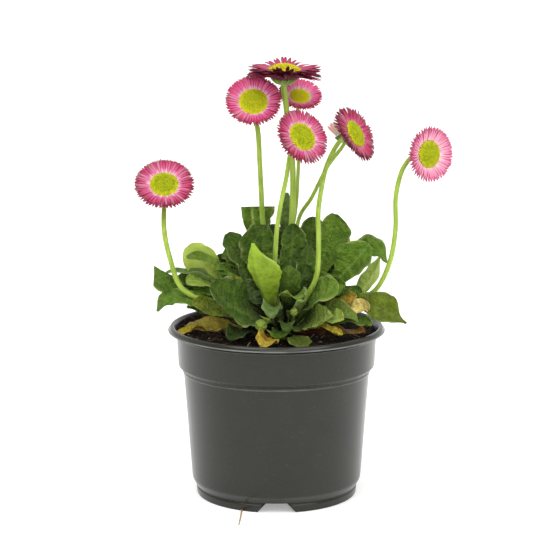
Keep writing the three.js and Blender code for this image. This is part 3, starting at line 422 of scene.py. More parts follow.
class Finish:
    """A node material on the Principled shader, written one node a line. Each part is a value from 0 to 1."""

    def __init__(self, name, roughness, **sockets):
        self.material = bpy.data.materials.new(name)
        self.material.use_nodes = True
        self.tree = self.material.node_tree
        self.shader = self.tree.nodes["Principled BSDF"]
        self.shader.inputs["Roughness"].default_value = roughness
        for socket, value in sockets.items():
            self.shader.inputs[socket.replace("_", " ")].default_value = value
        self.place = self.node("ShaderNodeTexCoord").outputs["Object"]

    def node(self, kind, inputs=None, **settings):
        made = self.tree.nodes.new(kind)
        for key, value in settings.items():
            setattr(made, key, value)
        for key, value in (inputs or {}).items():
            if isinstance(value, bpy.types.NodeSocket):
                self.tree.links.new(value, made.inputs[key])
            else:
                made.inputs[key].default_value = value
        return made

    def field(self, name):
        return self.node("ShaderNodeAttribute", attribute_name=name).outputs["Fac"]

    def noise(self, scale, detail=3.0, roughness=0.55, stretch=None):
        place = self.place
        if stretch:
            place = self.node("ShaderNodeMapping", {"Vector": place, "Scale": stretch}).outputs["Vector"]
        told = {"Vector": place, "Scale": scale, "Detail": detail, "Roughness": roughness}
        return self.node("ShaderNodeTexNoise", told).outputs["Fac"]

    def span(self, value, low, high, to_low=0.0, to_high=1.0):
        told = {"Value": value, "From Min": low, "From Max": high, "To Min": to_low, "To Max": to_high}
        return self.node("ShaderNodeMapRange", told).outputs["Result"]

    def maths(self, operation, a, b=0.0):
        return self.node("ShaderNodeMath", {0: a, 1: b}, operation=operation).outputs[0]

    def times(self, a, b):
        return self.maths("MULTIPLY", a, b)

    def mix(self, part, a, b):
        return self.node("ShaderNodeMix", {0: part, 6: a, 7: b}, data_type="RGBA").outputs[2]

    def over(self, shade, colour, part, strength=None):
        """The shade with a colour laid over it as far as the part says, times the strength."""
        return self.mix(part if strength is None else self.times(part, strength), shade, colour)

    def ramp(self, value, stops):
        made = self.node("ShaderNodeValToRGB", {"Fac": value})
        elements = made.color_ramp.elements
        while len(elements) < len(stops):
            elements.new(0.5)
        for element, (position, colour) in zip(elements, stops):
            element.position = position
            element.color = colour
        return made.outputs["Color"]

    def finish(self, colour, roughness=None, heights=(), bump=0.0002):
        """Links the colour, the roughness and a bump from the heights, which are pairs of socket and weight."""
        self.tree.links.new(colour, self.shader.inputs["Base Color"])
        if roughness is not None:
            self.tree.links.new(roughness, self.shader.inputs["Roughness"])
        if heights:
            total = None
            for height, weight in heights:
                part = self.times(height, weight)
                total = part if total is None else self.maths("ADD", total, part)
            made = self.node("ShaderNodeBump", {"Height": total, "Strength": 1.0, "Distance": bump})
            self.tree.links.new(made.outputs["Normal"], self.shader.inputs["Normal"])
        return self.material


def pot_plastic(colour):
    """Charcoal plastic: faint clouds and scuffs over a satin skin, dust on it, and painted highlights on its ridges,
    broken up by noise.
    """
    f = Finish("charcoal_plastic", 0.3, Specular_IOR_Level=0.38)
    cloud = f.span(f.noise(38, 4), 0.35, 0.7)
    scuff = f.span(f.noise(240, 5, 0.7, (1, 1, 3.5)), 0.62, 0.78)
    dust = f.span(f.noise(1500, 2), 0.66, 0.8)
    shade = f.mix(cloud, scaled(colour, 0.85), scaled(colour, 1.2))
    shade = f.over(shade, srgb(104, 106, 100), scuff, 0.18)
    shade = f.over(shade, srgb(120, 112, 98), dust, 0.25)
    # Painted highlights: a paler grey along the ridges that the edge field marks.
    shade = f.over(shade, srgb(150, 152, 146), f.field("edge"), f.span(f.noise(90, 2), 0.3, 0.6, 0.25, 0.6))
    rough = f.span(f.maths("ADD", cloud, scuff), 0, 1.6, 0.2, 0.3)
    return f.finish(shade, rough, [(f.noise(700, 3), 0.5), (scuff, -0.08)], 0.00006)


def peat_crumb():
    """Dark peat: each crumb has its own shade from near black through brown to a few tan fibres."""
    f = Finish("dark_peat", 0.95, Specular_IOR_Level=0.25)
    grain = f.noise(900, 5, 0.7)
    tone = f.maths("ADD", f.times(grain, 0.55), f.times(f.noise(160, 3), 0.3))
    ground = f.ramp(tone, [(0.3, srgb(14, 10, 8)), (0.48, srgb(34, 23, 16)), (0.62, srgb(66, 44, 28))])
    loose = f.ramp(f.field("shade"), [(0.0, srgb(20, 14, 11)), (0.45, srgb(50, 34, 22)), (0.8, srgb(92, 62, 38)),
                                      (0.93, srgb(150, 118, 80)), (1.0, srgb(205, 190, 160))])
    return f.finish(f.mix(f.field("upper"), ground, loose), None, [(grain, 1.0)], 0.0004)


LEAF_TONES = {
    "leaf": (srgb(62, 98, 14), srgb(118, 148, 36)),
    "dark": (srgb(40, 70, 4), srgb(93, 123, 20)),
    "grey": (srgb(74, 102, 42), srgb(116, 142, 68)),
    "light": (srgb(126, 156, 30), srgb(150, 180, 44)),
    "olive": (srgb(74, 92, 6), srgb(124, 142, 26)),
    "withered": (srgb(208, 186, 40), srgb(206, 186, 80)),
}


def leaf_skin_material(tone):
    """A leaf: its top and its paler underside, light veins, a rim painted as a highlight, clouds of tone, painted
    light and shade, and spots of age.
    """
    top, under = LEAF_TONES[tone]
    withered = tone == "withered"
    either = lambda green, brown: srgb(*(brown if withered else green))
    f = Finish("leaf_" + tone, 0.5, Specular_IOR_Level=0.2, Sheen_Weight=0.04, Sheen_Roughness=0.5)
    cloud = f.span(f.noise(90, 3), 0.36, 0.66)
    fine = f.span(f.noise(520, 4, 0.6), 0.3, 0.72)
    pucker = f.span(f.noise(210, 3, 0.6), 0.38, 0.64)
    shade = f.mix(f.field("upper"), under, top)
    shade = f.over(shade, scaled(top, 0.65 if withered else 0.45), cloud, 0.75)
    shade = f.over(shade, scaled(under, 0.8), pucker, 0.5)
    shade = f.over(shade, scaled(under, 1.4), fine, 0.2)
    shade = f.over(shade, either((158, 178, 96), (150, 104, 44)), f.field("vein"), 0.28)
    # Pale rim along green leaves' edges: a painted highlight. Withered leaves get a darker dry edge there instead.
    shade = f.over(shade, either((184, 196, 120), (120, 74, 34)), f.field("edge"),
                   f.span(f.noise(110, 2), 0.45, 0.66, 0.05, 0.75))
    shade = f.over(shade, either((142, 164, 70), (168, 126, 62)), f.span(f.field("along"), 0.0, 0.4, 0.7, 0.0))
    # Painted light and shade: lighter where the field is above 0 and darker where it is below, partly the leaf's own
    # tone.
    shade = f.over(shade, either((186, 206, 96), (222, 212, 150)), f.span(f.field("tint"), 0, 1))
    shade = f.over(shade, either((17, 28, 4), (96, 44, 22)), f.span(f.field("tint"), 0, -1))
    aged = f.times(f.span(f.noise(130, 4, 0.6), 0.52, 0.66), f.span(f.field("shade"), 0.2, 1.2))
    shade = f.over(shade, either((198, 168, 50), (150, 82, 30)), f.maths("MINIMUM", aged, 1.0))
    if withered:
        shade = f.over(shade, srgb(122, 70, 30), f.span(f.noise(210, 5, 0.65), 0.58, 0.7), 0.6)
    return f.finish(shade, f.span(fine, 0, 1, 0.38, 0.58), [(f.noise(1300, 3), 0.5), (fine, 1.0), (pucker, 2.4)],
                    0.00014 if tone == "light" else 0.0004)


def stalk_skin_material():
    """A stalk: light yellow green with fine lengthwise streaks, paler hairs, and darker bract tips."""
    f = Finish("stalk_green", 0.55, Specular_IOR_Level=0.35, Sheen_Weight=0.2, Sheen_Roughness=0.4)
    streak = f.span(f.noise(260, 3, 0.5, (3, 3, 0.25)), 0.3, 0.7)
    shade = f.mix(streak, srgb(126, 154, 40), srgb(162, 186, 70))
    shade = f.over(shade, srgb(92, 112, 54), f.field("shade"))
    shade = f.over(shade, srgb(196, 206, 150), f.field("edge"), 0.8)
    shade = f.over(shade, srgb(92, 70, 60), f.span(f.field("vein"), 0.35, 1.0))
    return f.finish(shade, None, [(f.noise(900, 3), 0.7), (streak, 0.4)], 0.0001)


# How far along a ray its base colour ends, then its base, middle, outer part, tip and underside.
RAY_TONES = {
    "pink": (0.14, (246, 210, 224), (203, 86, 134), (180, 48, 94), (128, 20, 48), (186, 34, 74)),
    "pale": (0.2, (244, 220, 218), (230, 156, 184), (220, 120, 158), (184, 62, 104), (170, 44, 84)),
    # The crimson row's dark underside is partly its own colour and partly painted shade.
    "crimson": (0.12, (206, 112, 144), (190, 62, 104), (168, 42, 82), (92, 10, 38), (112, 16, 44)),
    "deep": (0.10, (230, 166, 190), (194, 54, 104), (162, 30, 70), (92, 5, 28), (150, 18, 48)),
    "cream": (0.15, (240, 234, 196), (255, 242, 224), (252, 228, 212), (206, 104, 116), (244, 212, 194)),
}


def ray_skin_material(tone):
    """Rays: pale at the disc, coloured along, darkest at the tip, with painted shade along both edges and near the
    disc under crimson heads, and painted light on shaded heads; dark undersides.
    """
    ring = RAY_TONES[tone][0]
    base, middle, outer, tip, under = (srgb(*c) for c in RAY_TONES[tone][1:])
    f = Finish("rays_" + tone, 0.55, Specular_IOR_Level=0.25, Sheen_Weight=0.03 if tone == "crimson" else 0.1,
               Sheen_Roughness=0.4)
    along = f.maths("ADD", f.field("along"), f.span(f.field("shade"), 0, 1, -0.1, 0.1))
    stops = ring, ring + 0.26, 0.78, 0.97
    # Brighter stops laid over heads that another head would shade: painted light.
    painted_light_ramp = srgb(255, 232, 242), srgb(255, 124, 182), srgb(244, 84, 144), srgb(190, 36, 78)
    top = f.ramp(along, list(zip(stops, (base, middle, outer, tip))))
    top = f.mix(f.field("tint"), top, f.ramp(along, list(zip(stops, painted_light_ramp))))
    # Darker along both edges of each ray: painted shade for the gaps between rays.
    top = f.over(top, tip, f.span(f.maths("ABSOLUTE", f.field("across")), 0.4, 1.0), 0.6)
    top = f.over(top, base, f.span(f.field("shade"), 0.5, 1.0), 0.25)
    # Crimson heads' undersides turn near black by the disc: painted shade.
    inner = srgb(50, 8, 22) if tone == "crimson" else tuple(0.5 * (a + b) for a, b in zip(base, under))
    bottom = f.mix(f.span(f.field("along"), 0.0, 0.5), inner, under)
    bottom = f.over(bottom, tip, f.span(f.field("shade"), 0.3, 1.0), 0.7)
    shade = f.mix(f.field("upper"), bottom, top)
    shade = f.over(shade, tip, f.span(f.noise(900, 3), 0.35, 0.7), 0.16)
    return f.finish(shade, None, [(f.noise(1400, 2), 0.5)], 0.00006)


def disc_skin_material():
    """Florets: green between them, yellow at their tops, the outer ones a warmer yellow, and painted light on discs in
    shade.
    """
    f = Finish("disc_yellow", 0.65, Specular_IOR_Level=0.15)
    inner = f.mix(f.field("along"), srgb(112, 128, 2), srgb(170, 182, 14))
    outer = f.mix(f.field("along"), srgb(150, 136, 2), srgb(212, 202, 20))
    shade = f.mix(f.field("edge"), inner, outer)
    shade = f.over(shade, srgb(150, 160, 36), f.field("shade"), 0.25)
    shade = f.over(shade, srgb(216, 212, 50), f.span(f.noise(650, 2), 0.42, 0.6), 0.34)
    shade = f.over(shade, srgb(110, 122, 6), f.span(f.field("shade"), 0.55, 0.9), 0.4)
    # Painted light: a brighter yellow on discs that another head would shade.
    shade = f.over(shade, srgb(244, 236, 40), f.field("tint"))
    return f.finish(shade, None, [(f.noise(2200, 2), 0.6)], 0.00008)


def root_skin_material():
    """A dry root: tan with darker knots."""
    f = Finish("dry_root", 0.85)
    shade = f.mix(f.span(f.noise(420, 3), 0.35, 0.7), srgb(176, 150, 96), srgb(134, 104, 58))
    return f.finish(shade, None, [(f.noise(1500, 2), 1.0)], 0.0001)


# Leaves

def crown_radius(z):
    """7 times the root of 1 - 0.75 t^2, t being the part of the way from the peat to the crown's top."""
    t = np.clip((z - SOIL_LEVEL) / (CROWN_TOP - SOIL_LEVEL), 0, 1)
    return 7 * np.sqrt(1 - 0.75 * t * t)


def half_width(told, t, v):
    """A spoon-shaped blade, s^swell (1 - s)^point over its peak, on a winged petiole, or else the widths
    told for its two sides at the outline's stops, averaged over a short way, with a blunt end."""
    if told["low"]:
        def side(widths):
            widths = (PETIOLE,) * (len(OUTLINE_STOPS) - len(widths)) + widths
            return sum(np.interp(t + d, OUTLINE_STOPS, widths) for d in (-0.06, -0.03, 0, 0.03, 0.06)) / 5
        blunt = np.sqrt(1 - told["blunt"] * np.clip((t - 0.86) / 0.14, 0, 1) ** 2)
        return np.where(v < 0, side(told["low"]), side(told["high"])) * blunt
    s = np.clip((t - told["stem"]) / (1 - told["stem"]), 0, 1)
    peak = SWELL / (SWELL + POINT)
    most = peak**SWELL * (1 - peak) ** POINT
    return PETIOLE + (told["width"] / 2 - PETIOLE) * s**SWELL * (1 - s) ** POINT / most - 0.6 * PETIOLE * s * s


def leaf_rib(told):
    """The four points of the cubic rib, and the level vector square to its heading."""
    tip = np.array(told["tip"], float)
    azimuth, height = told["root"]
    root = CROWN + heading_vector(azimuth, 0) * (crown_radius(height) + GAP - told["sunk"])
    root[2] = height
    reach = np.linalg.norm(tip - root)
    heading = told["heading"]
    if heading is None:
        heading = math.degrees(math.atan2(tip[1] - root[1], tip[0] - root[0]))
    first = root + heading_vector(azimuth, told["rise"][0]) * reach * 0.4
    last = tip - heading_vector(heading, told["rise"][1]) * reach * 0.35
    level = np.array([-math.sin(math.radians(heading)), math.cos(math.radians(heading)), 0])
    return (root, first, last, tip), level, azimuth, reach


def bezier(points, t):
    """Cubic through its end points, drawn towards the two between them."""
    a, b, c, d = points
    t = t[..., None]
    return a * (1 - t) ** 3 + 3 * b * t * (1 - t) ** 2 + 3 * c * t * t * (1 - t) + d * t**3


def bezier_slope(points, t):
    """The cubic's derivative."""
    a, b, c, d = points
    t = t[..., None]
    return 3 * (b - a) * (1 - t) ** 2 + 6 * (c - b) * t * (1 - t) + 3 * (d - c) * t * t


def leaf_skin(growth, told, seed, settings, rows=64, columns=27):
    """A leaf on a grid of t along its rib and v across: the rib's point, plus the half width times v sideways,
    plus the lift of its cup and waves in v squared. Scallops nick its edge, veins sink its top, and the
    blade swells between them, crumpled by smooth noise. The top and the underside lie half a thickness off,
    with a keel below the rib, and close as rings. Deep inside the rosette it gets painted shade, darker where
    other leaves would shade it."""
    rng = np.random.default_rng(seed)
    t = (1 - (1 - np.linspace(0, 1, rows)) ** 1.25)[:, None]
    v = np.sin(np.linspace(-1, 1, columns) * np.pi / 2 * 0.82)[None, :] / math.sin(np.pi / 2 * 0.82)
    rib, level, azimuth, reach = leaf_rib(told)
    along = unit(bezier_slope(rib, t))
    side = unit(level - along * (along @ level)[..., None])
    face = np.cross(along, side)
    roll = (math.radians(told["roll"]) * smoothstep(t, 0, 0.6))[..., None]
    across = side * np.cos(roll) - face * np.sin(roll)
    out = face * np.cos(roll) + side * np.sin(roll)
    blade = smoothstep(t, told["stem"] * 0.8, told["stem"] * 0.8 + 0.25)
    half = half_width(told, t, v)
    count = max(4, round(reach * (1 - told["stem"]) / TOOTH_STEP))
    phase = np.where(v > 0, *rng.uniform(0, 1, 2))
    scallop = np.abs(np.sin(np.pi * (count * t + phase))) - 0.6
    ragged = 0.6 * np.sin(2 * np.pi * (2.3 * t + 3 * phase)) + 0.5 * np.sin(2 * np.pi * (5.3 * t + 7 * phase))
    nick = settings.tooth_depth * told["teeth"] * (scallop + ragged)
    shaped = half * (1 + nick * np.abs(v) ** 5 * blade * smoothstep(1 - t, 0, 0.12))
    wave = 0.1 * np.sin(9 * t + 2.5 * np.sign(v) + azimuth) * t
    swing = 2 * np.pi * (told["waves"] * rng.uniform(0.85, 1.15) * t + np.where(v > 0, *rng.uniform(0, 1, 2)))
    frill = told["ruffle"] * (np.sin(swing) + 0.35 * np.sin(2.3 * swing))
    lift = half * ((told["cup"] + wave) * v * v + told["fold"] * (np.sqrt(v * v + 0.02) - 0.14))
    lift = lift + frill * np.abs(v) ** 3 * blade
    shorter = 1 - told["skew"] * (1 + v) * 0.5 * t
    veins = max(4, round(reach * (1 - told["stem"]) / VEIN_STEP))
    stripe = veins * (t - 0.3 * np.abs(v) * half / reach * 2.2) + rng.uniform(0, 1)
    stripe = np.abs(stripe - np.round(stripe)) / veins * reach
    lateral = np.exp(-((stripe / 0.55) ** 2)) * (1 - v * v) * blade * smoothstep(np.abs(v) * half, 0.4, 2)
    midrib = np.exp(-((v * half / 0.75) ** 2)) * (1 - 0.75 * t)
    vein = np.maximum(midrib * blade * told["bright"], 0.55 * lateral)
    swelling = settings.vein_depth / MM * ((1 - lateral) * (1 - v**4) * 0.8 - 1.4 * midrib) * blade
    crumple = told["crinkle"] * lumps(t * reach + 40 * seed, v * half, 4.5, seed) * (0.4 + np.abs(v)) * blade
    crumple = crumple + 0.5 * told["crinkle"] * lumps(t * reach, v * half + 30 * seed, 1.8, seed + 1) * blade
    middle = bezier(rib, t * shorter) + across * (shaped * v)[..., None]
    middle = middle + out * (lift + swelling + crumple)[..., None]
    normal = unit(np.cross(np.gradient(middle, axis=0), np.gradient(middle, axis=1)))
    thick = 0.5 * (settings.thickness / MM + 1.1 * (1 - smoothstep(t, told["stem"] * 0.6, told["stem"] + 0.25)))
    thick = thick * np.sqrt(1 - 0.9 * v * v)
    keel = 0.45 * midrib * blade
    top = middle + normal * thick[..., None]
    under = middle - normal * (thick + keel)[..., None]
    both = lambda *sides: np.concatenate([np.broadcast_to(sides[0], middle.shape[:2]),
                                          np.broadcast_to(sides[-1], middle.shape[:2])[:, ::-1]], axis=1)[None]
    # Painted shade: darker close to the crown's axis and low down, where other leaves would shade the leaf.
    away = np.hypot(middle[..., 0] - CROWN[0], middle[..., 1] - CROWN[1])
    deep = (1 - smoothstep(away, 5, 27)) * (1 - smoothstep(middle[..., 2], 90, 122))
    # The edge field places the painted highlight along the leaf's rim.
    growth.add(np.concatenate([top, under[:, ::-1]], axis=1)[None], along=both(t), upper=both(1.0, 0.0),
               shade=told["age"] + 0.2 * rng.uniform(), vein=both(vein, 0.8 * vein),
               tint=both(told["tint"] - 1.1 * deep), edge=both(np.abs(v) ** 12 * blade))


# Stalks, cups and buds

def stalk_path(bloom):
    """The stalk's points, then two along the facing that lead into the cup."""
    facing, head = seat(bloom)
    ends = [head + facing * (CUP_BOTTOM - bloom["neck"]), head + facing * (CUP_BOTTOM + 1)]
    return smooth_path(list(bloom["path"]) + ends, 110)


def stalk_skin(growth, bloom, seed, hairs):
    """A ribbed tube that widens into the cup, with fine cones for hairs."""
    rng = np.random.default_rng(seed)
    path = stalk_path(bloom)
    s = np.linspace(0, 1, len(path))
    radius = bloom["stalk"] * (1.06 - 0.1 * s + 0.22 * smoothstep(s, 0.955, 1) + 0.02 * np.sin(23 * s + seed))
    growth.add(tube_rings(path, radius, 16, 5, 0.035))
    place = rng.uniform(0.03, 0.985, hairs) * (len(path) - 1)
    k = place.astype(int)
    w = (place - k)[:, None]
    tangent, side, other = path_frame(path)
    angle = rng.uniform(0, 2 * np.pi, hairs)[:, None]
    outward = unit(np.cos(angle) * side[k] + np.sin(angle) * other[k])
    start = path[k] * (1 - w) + path[k + 1] * w + outward * (radius[k][:, None] * 0.97)
    lean = unit(outward + tangent[k] * rng.uniform(-0.2, 0.7, (hairs, 1)) + rng.normal(0, 0.15, (hairs, 3)))
    hair_skins(growth, start, lean, rng.uniform(0.45, 1.0, (hairs, 1)), 0.045)


def hair_skins(growth, start, lean, length, radius):
    """Each hair is a three-sided cone from its root along its lean."""
    side = unit(np.cross(lean, [0.31, 0.52, 0.79]))
    other = np.cross(lean, side)
    angle = np.arange(3) * 2 * np.pi / 3
    ring = start[:, None] + radius * (np.cos(angle)[None, :, None] * side[:, None]
                                      + np.sin(angle)[None, :, None] * other[:, None])
    ends = np.stack([start - lean * 0.1, start + lean * length], axis=1)
    growth.add(ring[:, None], ends, edge=1.0)


def cup_skin(growth, size, stalk_radius, facing, head, seed, count=13):
    """A cup carried round from a bowed profile, and two rows of bracts: strips that follow the profile,
    widest below their middle and drawn to a point that stands a little off the rays."""
    rng = np.random.default_rng(seed)
    start, bow, rim = np.array([[stalk_radius + 0.2, CUP_BOTTOM - 0.1], [0.8 * size, -4.9], [0.96 * size, -2.4]])
    u = np.linspace(0, 1, 10)[:, None]
    profile = start * (1 - u) ** 2 + 2 * bow * u * (1 - u) + rim * u * u
    body = revolved(np.vstack([profile, [0.9 * size, CUP_TOP]]), turns(40))[None]
    growth.add(turned(body, facing, head), shade=0.5)
    s = np.linspace(0, 1, 9)[:, None]
    v = np.array([-1, -0.5, 0, 0.5, 1, 1, 0, -1.0])
    upper = np.array([1, 1, 1, 1, 1, 0, 0, 0.0])
    end = np.array([1.08 * size, -1.75])
    for row, (length, off) in enumerate([(0.95, 0.1), (1.0, 0.32)]):
        angle = ((np.arange(count) + 0.5 * row) * 2 * np.pi / count + rng.normal(0, 0.05, count))[:, None, None]
        reach = length * rng.uniform(0.97, 1.05, (count, 1, 1))
        u = s * reach
        r = start[0] * (1 - u) ** 2 + 2 * bow[0] * u * (1 - u) + end[0] * u * u
        z = start[1] * (1 - u) ** 2 + 2 * bow[1] * u * (1 - u) + end[1] * u * u
        width = size * 0.25 * (0.25 + 0.75 * np.sin(np.pi * np.minimum(1, s + 0.22) ** 1.6))
        width = np.maximum(width * np.sqrt(np.clip(1 - s**5, 0.003, 1)), 0.04)
        bulge = off + 0.12 * (1 - v * v) - 0.22 * (1 - upper)
        r, z = r + 0.7 * bulge, z - 0.7 * bulge
        turn = angle + v * width / np.maximum(r, 1)
        rings = np.stack([r * np.cos(turn), r * np.sin(turn), z + 0 * turn], axis=-1)
        growth.add(turned(rings, facing, head), shade=0.45 + 0.5 * rng.uniform(size=(count, 1, 1)),
                   vein=smoothstep(s, 0.72, 1.0) * rng.uniform(0.4, 1.0, (count, 1, 1)))


# Rays and discs

def ray_layer(growth, bloom, part, phase, count, width, seed):
    """One layer of rays carried round the head, from the outermost, part 0, to the innermost, part 1. Each runs
    straight out and up by its cup's tangent, bends a little, widens to its shoulder and closes in a blunt tip;
    its top is channelled between two low ridges. The lifts in front, at the back and on the left turn rays by the
    sine or cosine of their place round the head to the power 1.5, and the droop lowers those at the back's
    corners by the sine times the cosine."""
    facing, head = seat(bloom)
    rng = np.random.default_rng(seed)
    wild = bloom["wild"]
    pick = lambda low, high: rng.uniform(low, high, (count, 1, 1))
    s = (1 - (1 - np.linspace(0, 1, 8)) ** 1.3)[:, None]
    v = np.array([-1, -0.4, 0.4, 1, 1, -1.0])
    ridge = np.array([0, 1, 1, 0, 0, 0.0])
    upper = np.array([1, 1, 1, 1, 0, 0.0])
    pitch = 2 * np.pi / count
    angle = ((np.arange(count) + phase) * pitch)[:, None, None] + pick(-0.14, 0.14) * pitch * wild
    cos, sin = np.cos(angle), np.sin(angle)
    front, back, left = (np.clip(side, 0, 1) ** 1.5 for side in (-sin, sin, -cos))
    lift = bloom["front_lift"] * (1 - 0.45 * part) * front * (1 - pick(0, 0.35) * (wild - 1))
    lift = lift + bloom["back_lift"] * back + bloom["left_lift"] * left
    lift = lift - bloom["droop"] * (np.clip(sin, 0, 1) * np.abs(cos))
    steep = bloom["cup"] + bloom["spread"] * part
    cup = np.radians(steep + pick(-2, 2) * wild + lift)
    start, hub = 0.72 * bloom["disc"], bloom["disc"] + 0.2
    base = -1.4 + 1.3 * part - bloom["drop"] * (1 - part)
    reach = bloom["radius"] * (1.0 - 0.055 * part) * (1 - pick(0, 0.035) * min(wild, 1.5))
    r = start + (reach - start) * s * np.cos(cup - np.radians(steep))
    z = base + (r - hub) * np.tan(cup) + pick(-0.3, 0.1) * wild * s**3 + 0.7 * np.sin(np.pi * s)
    width = width * pick(0.92, 1.08) * (0.5 + 0.5 * smoothstep(s, 0, 0.5))
    width = width * np.sqrt(np.clip(1 - (np.clip(s - 0.58, 0, 1) / 0.424) ** 2, 0.012, 1))
    roll = pick(-0.16, 0.16) * wild
    aside = width * v * np.cos(roll) + pick(-0.25, 0.25) * wild * s * s
    rise = 0.1 * ridge + 0.08 * (upper - 0.5) + width * v * np.sin(roll)
    r, z = r - np.sin(cup) * rise, z + np.cos(cup) * rise
    rings = np.stack([r * cos - aside * sin, r * sin + aside * cos, z], axis=-1)
    # Rays of heads that another head would shade are lightened: painted light.
    growth.add(turned(rings, facing, head), along=s, across=v, upper=upper, shade=pick(0, 1), tint=bloom["glow"])


def bloom_rays(growth, bloom, seed, settings):
    """Four layers of rays, the inner ones shorter and steeper."""
    width = settings.ray_width / MM / 2 * bloom["radius"] / 14 * bloom["broad"]
    for layer, phase in enumerate((0, 0.5, 0.25, 0.75)):
        ray_layer(growth, bloom, layer / 3, phase, round(settings.rays_per_head / 4), width, seed + layer)


def floret_skins(growth, bloom, seed, count):
    """Florets on a low dome, radius squared from its edge up, which has a skirt down into the cup. They lie in a
    sunflower spiral: the n-th at the root of n times the golden angle. Each is a little column carried round;
    the outer ones open in five lobes round a pit, the inner are round buds."""
    facing, head = seat(bloom)
    rng = np.random.default_rng(seed)
    radius, rise, drop = bloom["disc"], bloom["dome"] * bloom["disc"], bloom["drop"]
    dome = lambda p: GAP + 0.1 - bloom["sink"] + rise * (1 - p * p)
    skirt = ((0.9 - 0.1 * drop) * radius, -0.4 - 1.7 * drop)
    profile = [skirt] + [(radius * p * 0.97, dome(p)) for p in np.linspace(1, 0, 9)[:-1]]
    growth.add(turned(revolved(profile, turns(32))[None], facing, head), shade=0.5)
    n = np.arange(count)
    part = np.sqrt((n + 0.5) / count) * 0.975
    turn = n * GOLDEN_ANGLE
    opened = smoothstep(part + rng.uniform(-0.08, 0.08, count), 0.6, 0.8)[:, None, None]
    size = radius * math.sqrt(math.pi / count) * 0.52
    angle = turns(10)
    shut = np.array([[0.75, 0.95, 0.85, 0.45], [0, 0.9, 1.5, 1.85]])[..., None]
    flared = np.array([[0.6, 0.62, 1.2, 0.5], [0, 1.1, 1.75, 1.6]])[..., None]
    r, z = (size * (a * (1 - opened) + b * opened) for a, b in zip(shut, flared))
    r = r * (1 + 0.2 * opened * np.array([0, 0, 1, 0])[:, None] * np.cos(5 * angle + turn[:, None, None]))
    slope = np.arctan(2 * rise * part / radius)
    normal = np.stack([np.sin(slope) * np.cos(turn), np.sin(slope) * np.sin(turn), np.cos(slope)], -1)
    normal = unit(normal + rng.normal(0, 0.07, (count, 3)))
    side = unit(np.cross(normal, [0.0, 0.0, 1.0]) + 1e-6 * np.array([1.0, 0, 0]))
    root = np.stack([radius * part * np.cos(turn), radius * part * np.sin(turn), dome(part) - 0.25], -1)
    middle, wide, high, up = (a[:, None, None] for a in (root, side, np.cross(normal, side), normal))
    rings = middle + (r * np.cos(angle))[..., None] * wide + (r * np.sin(angle))[..., None] * high + z[..., None] * up
    cap = size * (2.0 * (1 - opened) + 1.2 * opened)[:, 0]
    ends = np.stack([root - 0.1 * normal, root + cap * normal], axis=1)
    # The outer florets' warmer yellow spreads over the disc with ripeness, partly as painted light on a shaded disc;
    # shaded heads are also lightened by painted light.
    growth.add(turned(rings, facing, head), turned(ends, facing, head), along=np.array([0, 0.5, 1, 0.9])[:, None],
               edge=np.maximum(smoothstep(part, 0.68, 1.0), bloom["ripe"])[:, None, None],
               shade=rng.uniform(0, 1, (count, 1, 1)), tint=0.5 * bloom["glow"])


def bud_skins(growth, count=30):
    """The half open bud: rays that rise from the cup in three rings, bow a little and spread at their tips."""
    rng = np.random.default_rng(SEEDS["bud"])
    pick = lambda low, high: rng.uniform(low, high, (count, 1, 1))
    s = np.linspace(0, 1, 9)[:, None]
    v = np.array([-1, 0, 1, 1, 0, -1.0])
    upper = np.array([1, 1, 1, 0, 0, 0.0])
    angle = (np.arange(count) * 2.4)[:, None, None]
    ring = (0.55 + 0.45 * (np.arange(count) % 3) / 2)[:, None, None]
    r = ring * (1.5 + 0.5 * np.sin(np.pi * s) + 1.0 * s) * pick(0.85, 1.1)
    z = CUP_TOP + GAP + 6.8 * s * pick(0.72, 1.03)
    width = 0.42 * np.sqrt(np.clip(1 - (np.clip(s - 0.45, 0, 1) / 0.56) ** 2, 0.03, 1)) * (0.6 + 0.4 * s)
    r = r + (0.07 * (1 - 2 * upper) + 0.1 * (1 - v * v))
    x = r * np.cos(angle) - width * v * np.sin(angle)
    y = r * np.sin(angle) + width * v * np.cos(angle)
    growth.add(turned(np.stack([x, y, z + 0 * x], -1), *seat(BUD)), along=s, across=v, upper=upper, shade=pick(0, 1))


# Pot and peat

def soil_height(x, y):
    """The solid's hummocks: two sine waves, flat at the crown."""
    rise = smoothstep(np.hypot(x - CROWN[0], y - CROWN[1]), 7.5, 13.5)
    broad = 0.7 * np.sin(x * 0.21 + 1) * np.cos(y * 0.17)
    return SOIL_LEVEL + rise * (broad + 0.5 * np.sin(x * 0.5 - y * 0.4))


def peat_top(x, y, grain):
    """The hummocks with noise of four sizes on them, and a bank up against the wall, highest at the back."""
    rough = 0.9 * lumps(x, y, 5.0, 1) + 0.6 * lumps(x, y, 2.1, 2) + 0.45 * lumps(x, y, 0.95, 3)
    height = soil_height(x, y) + grain * (rough + 0.25 * lumps(x, y, 0.5, 4))
    bank = 3.5 + 1.1 * y / 46 - 0.3 * x / 46 + 0.6 * lumps(x, y, 4.0, 8)
    return height + smoothstep(np.hypot(x, y), 38, PEAT_RADIUS) * bank


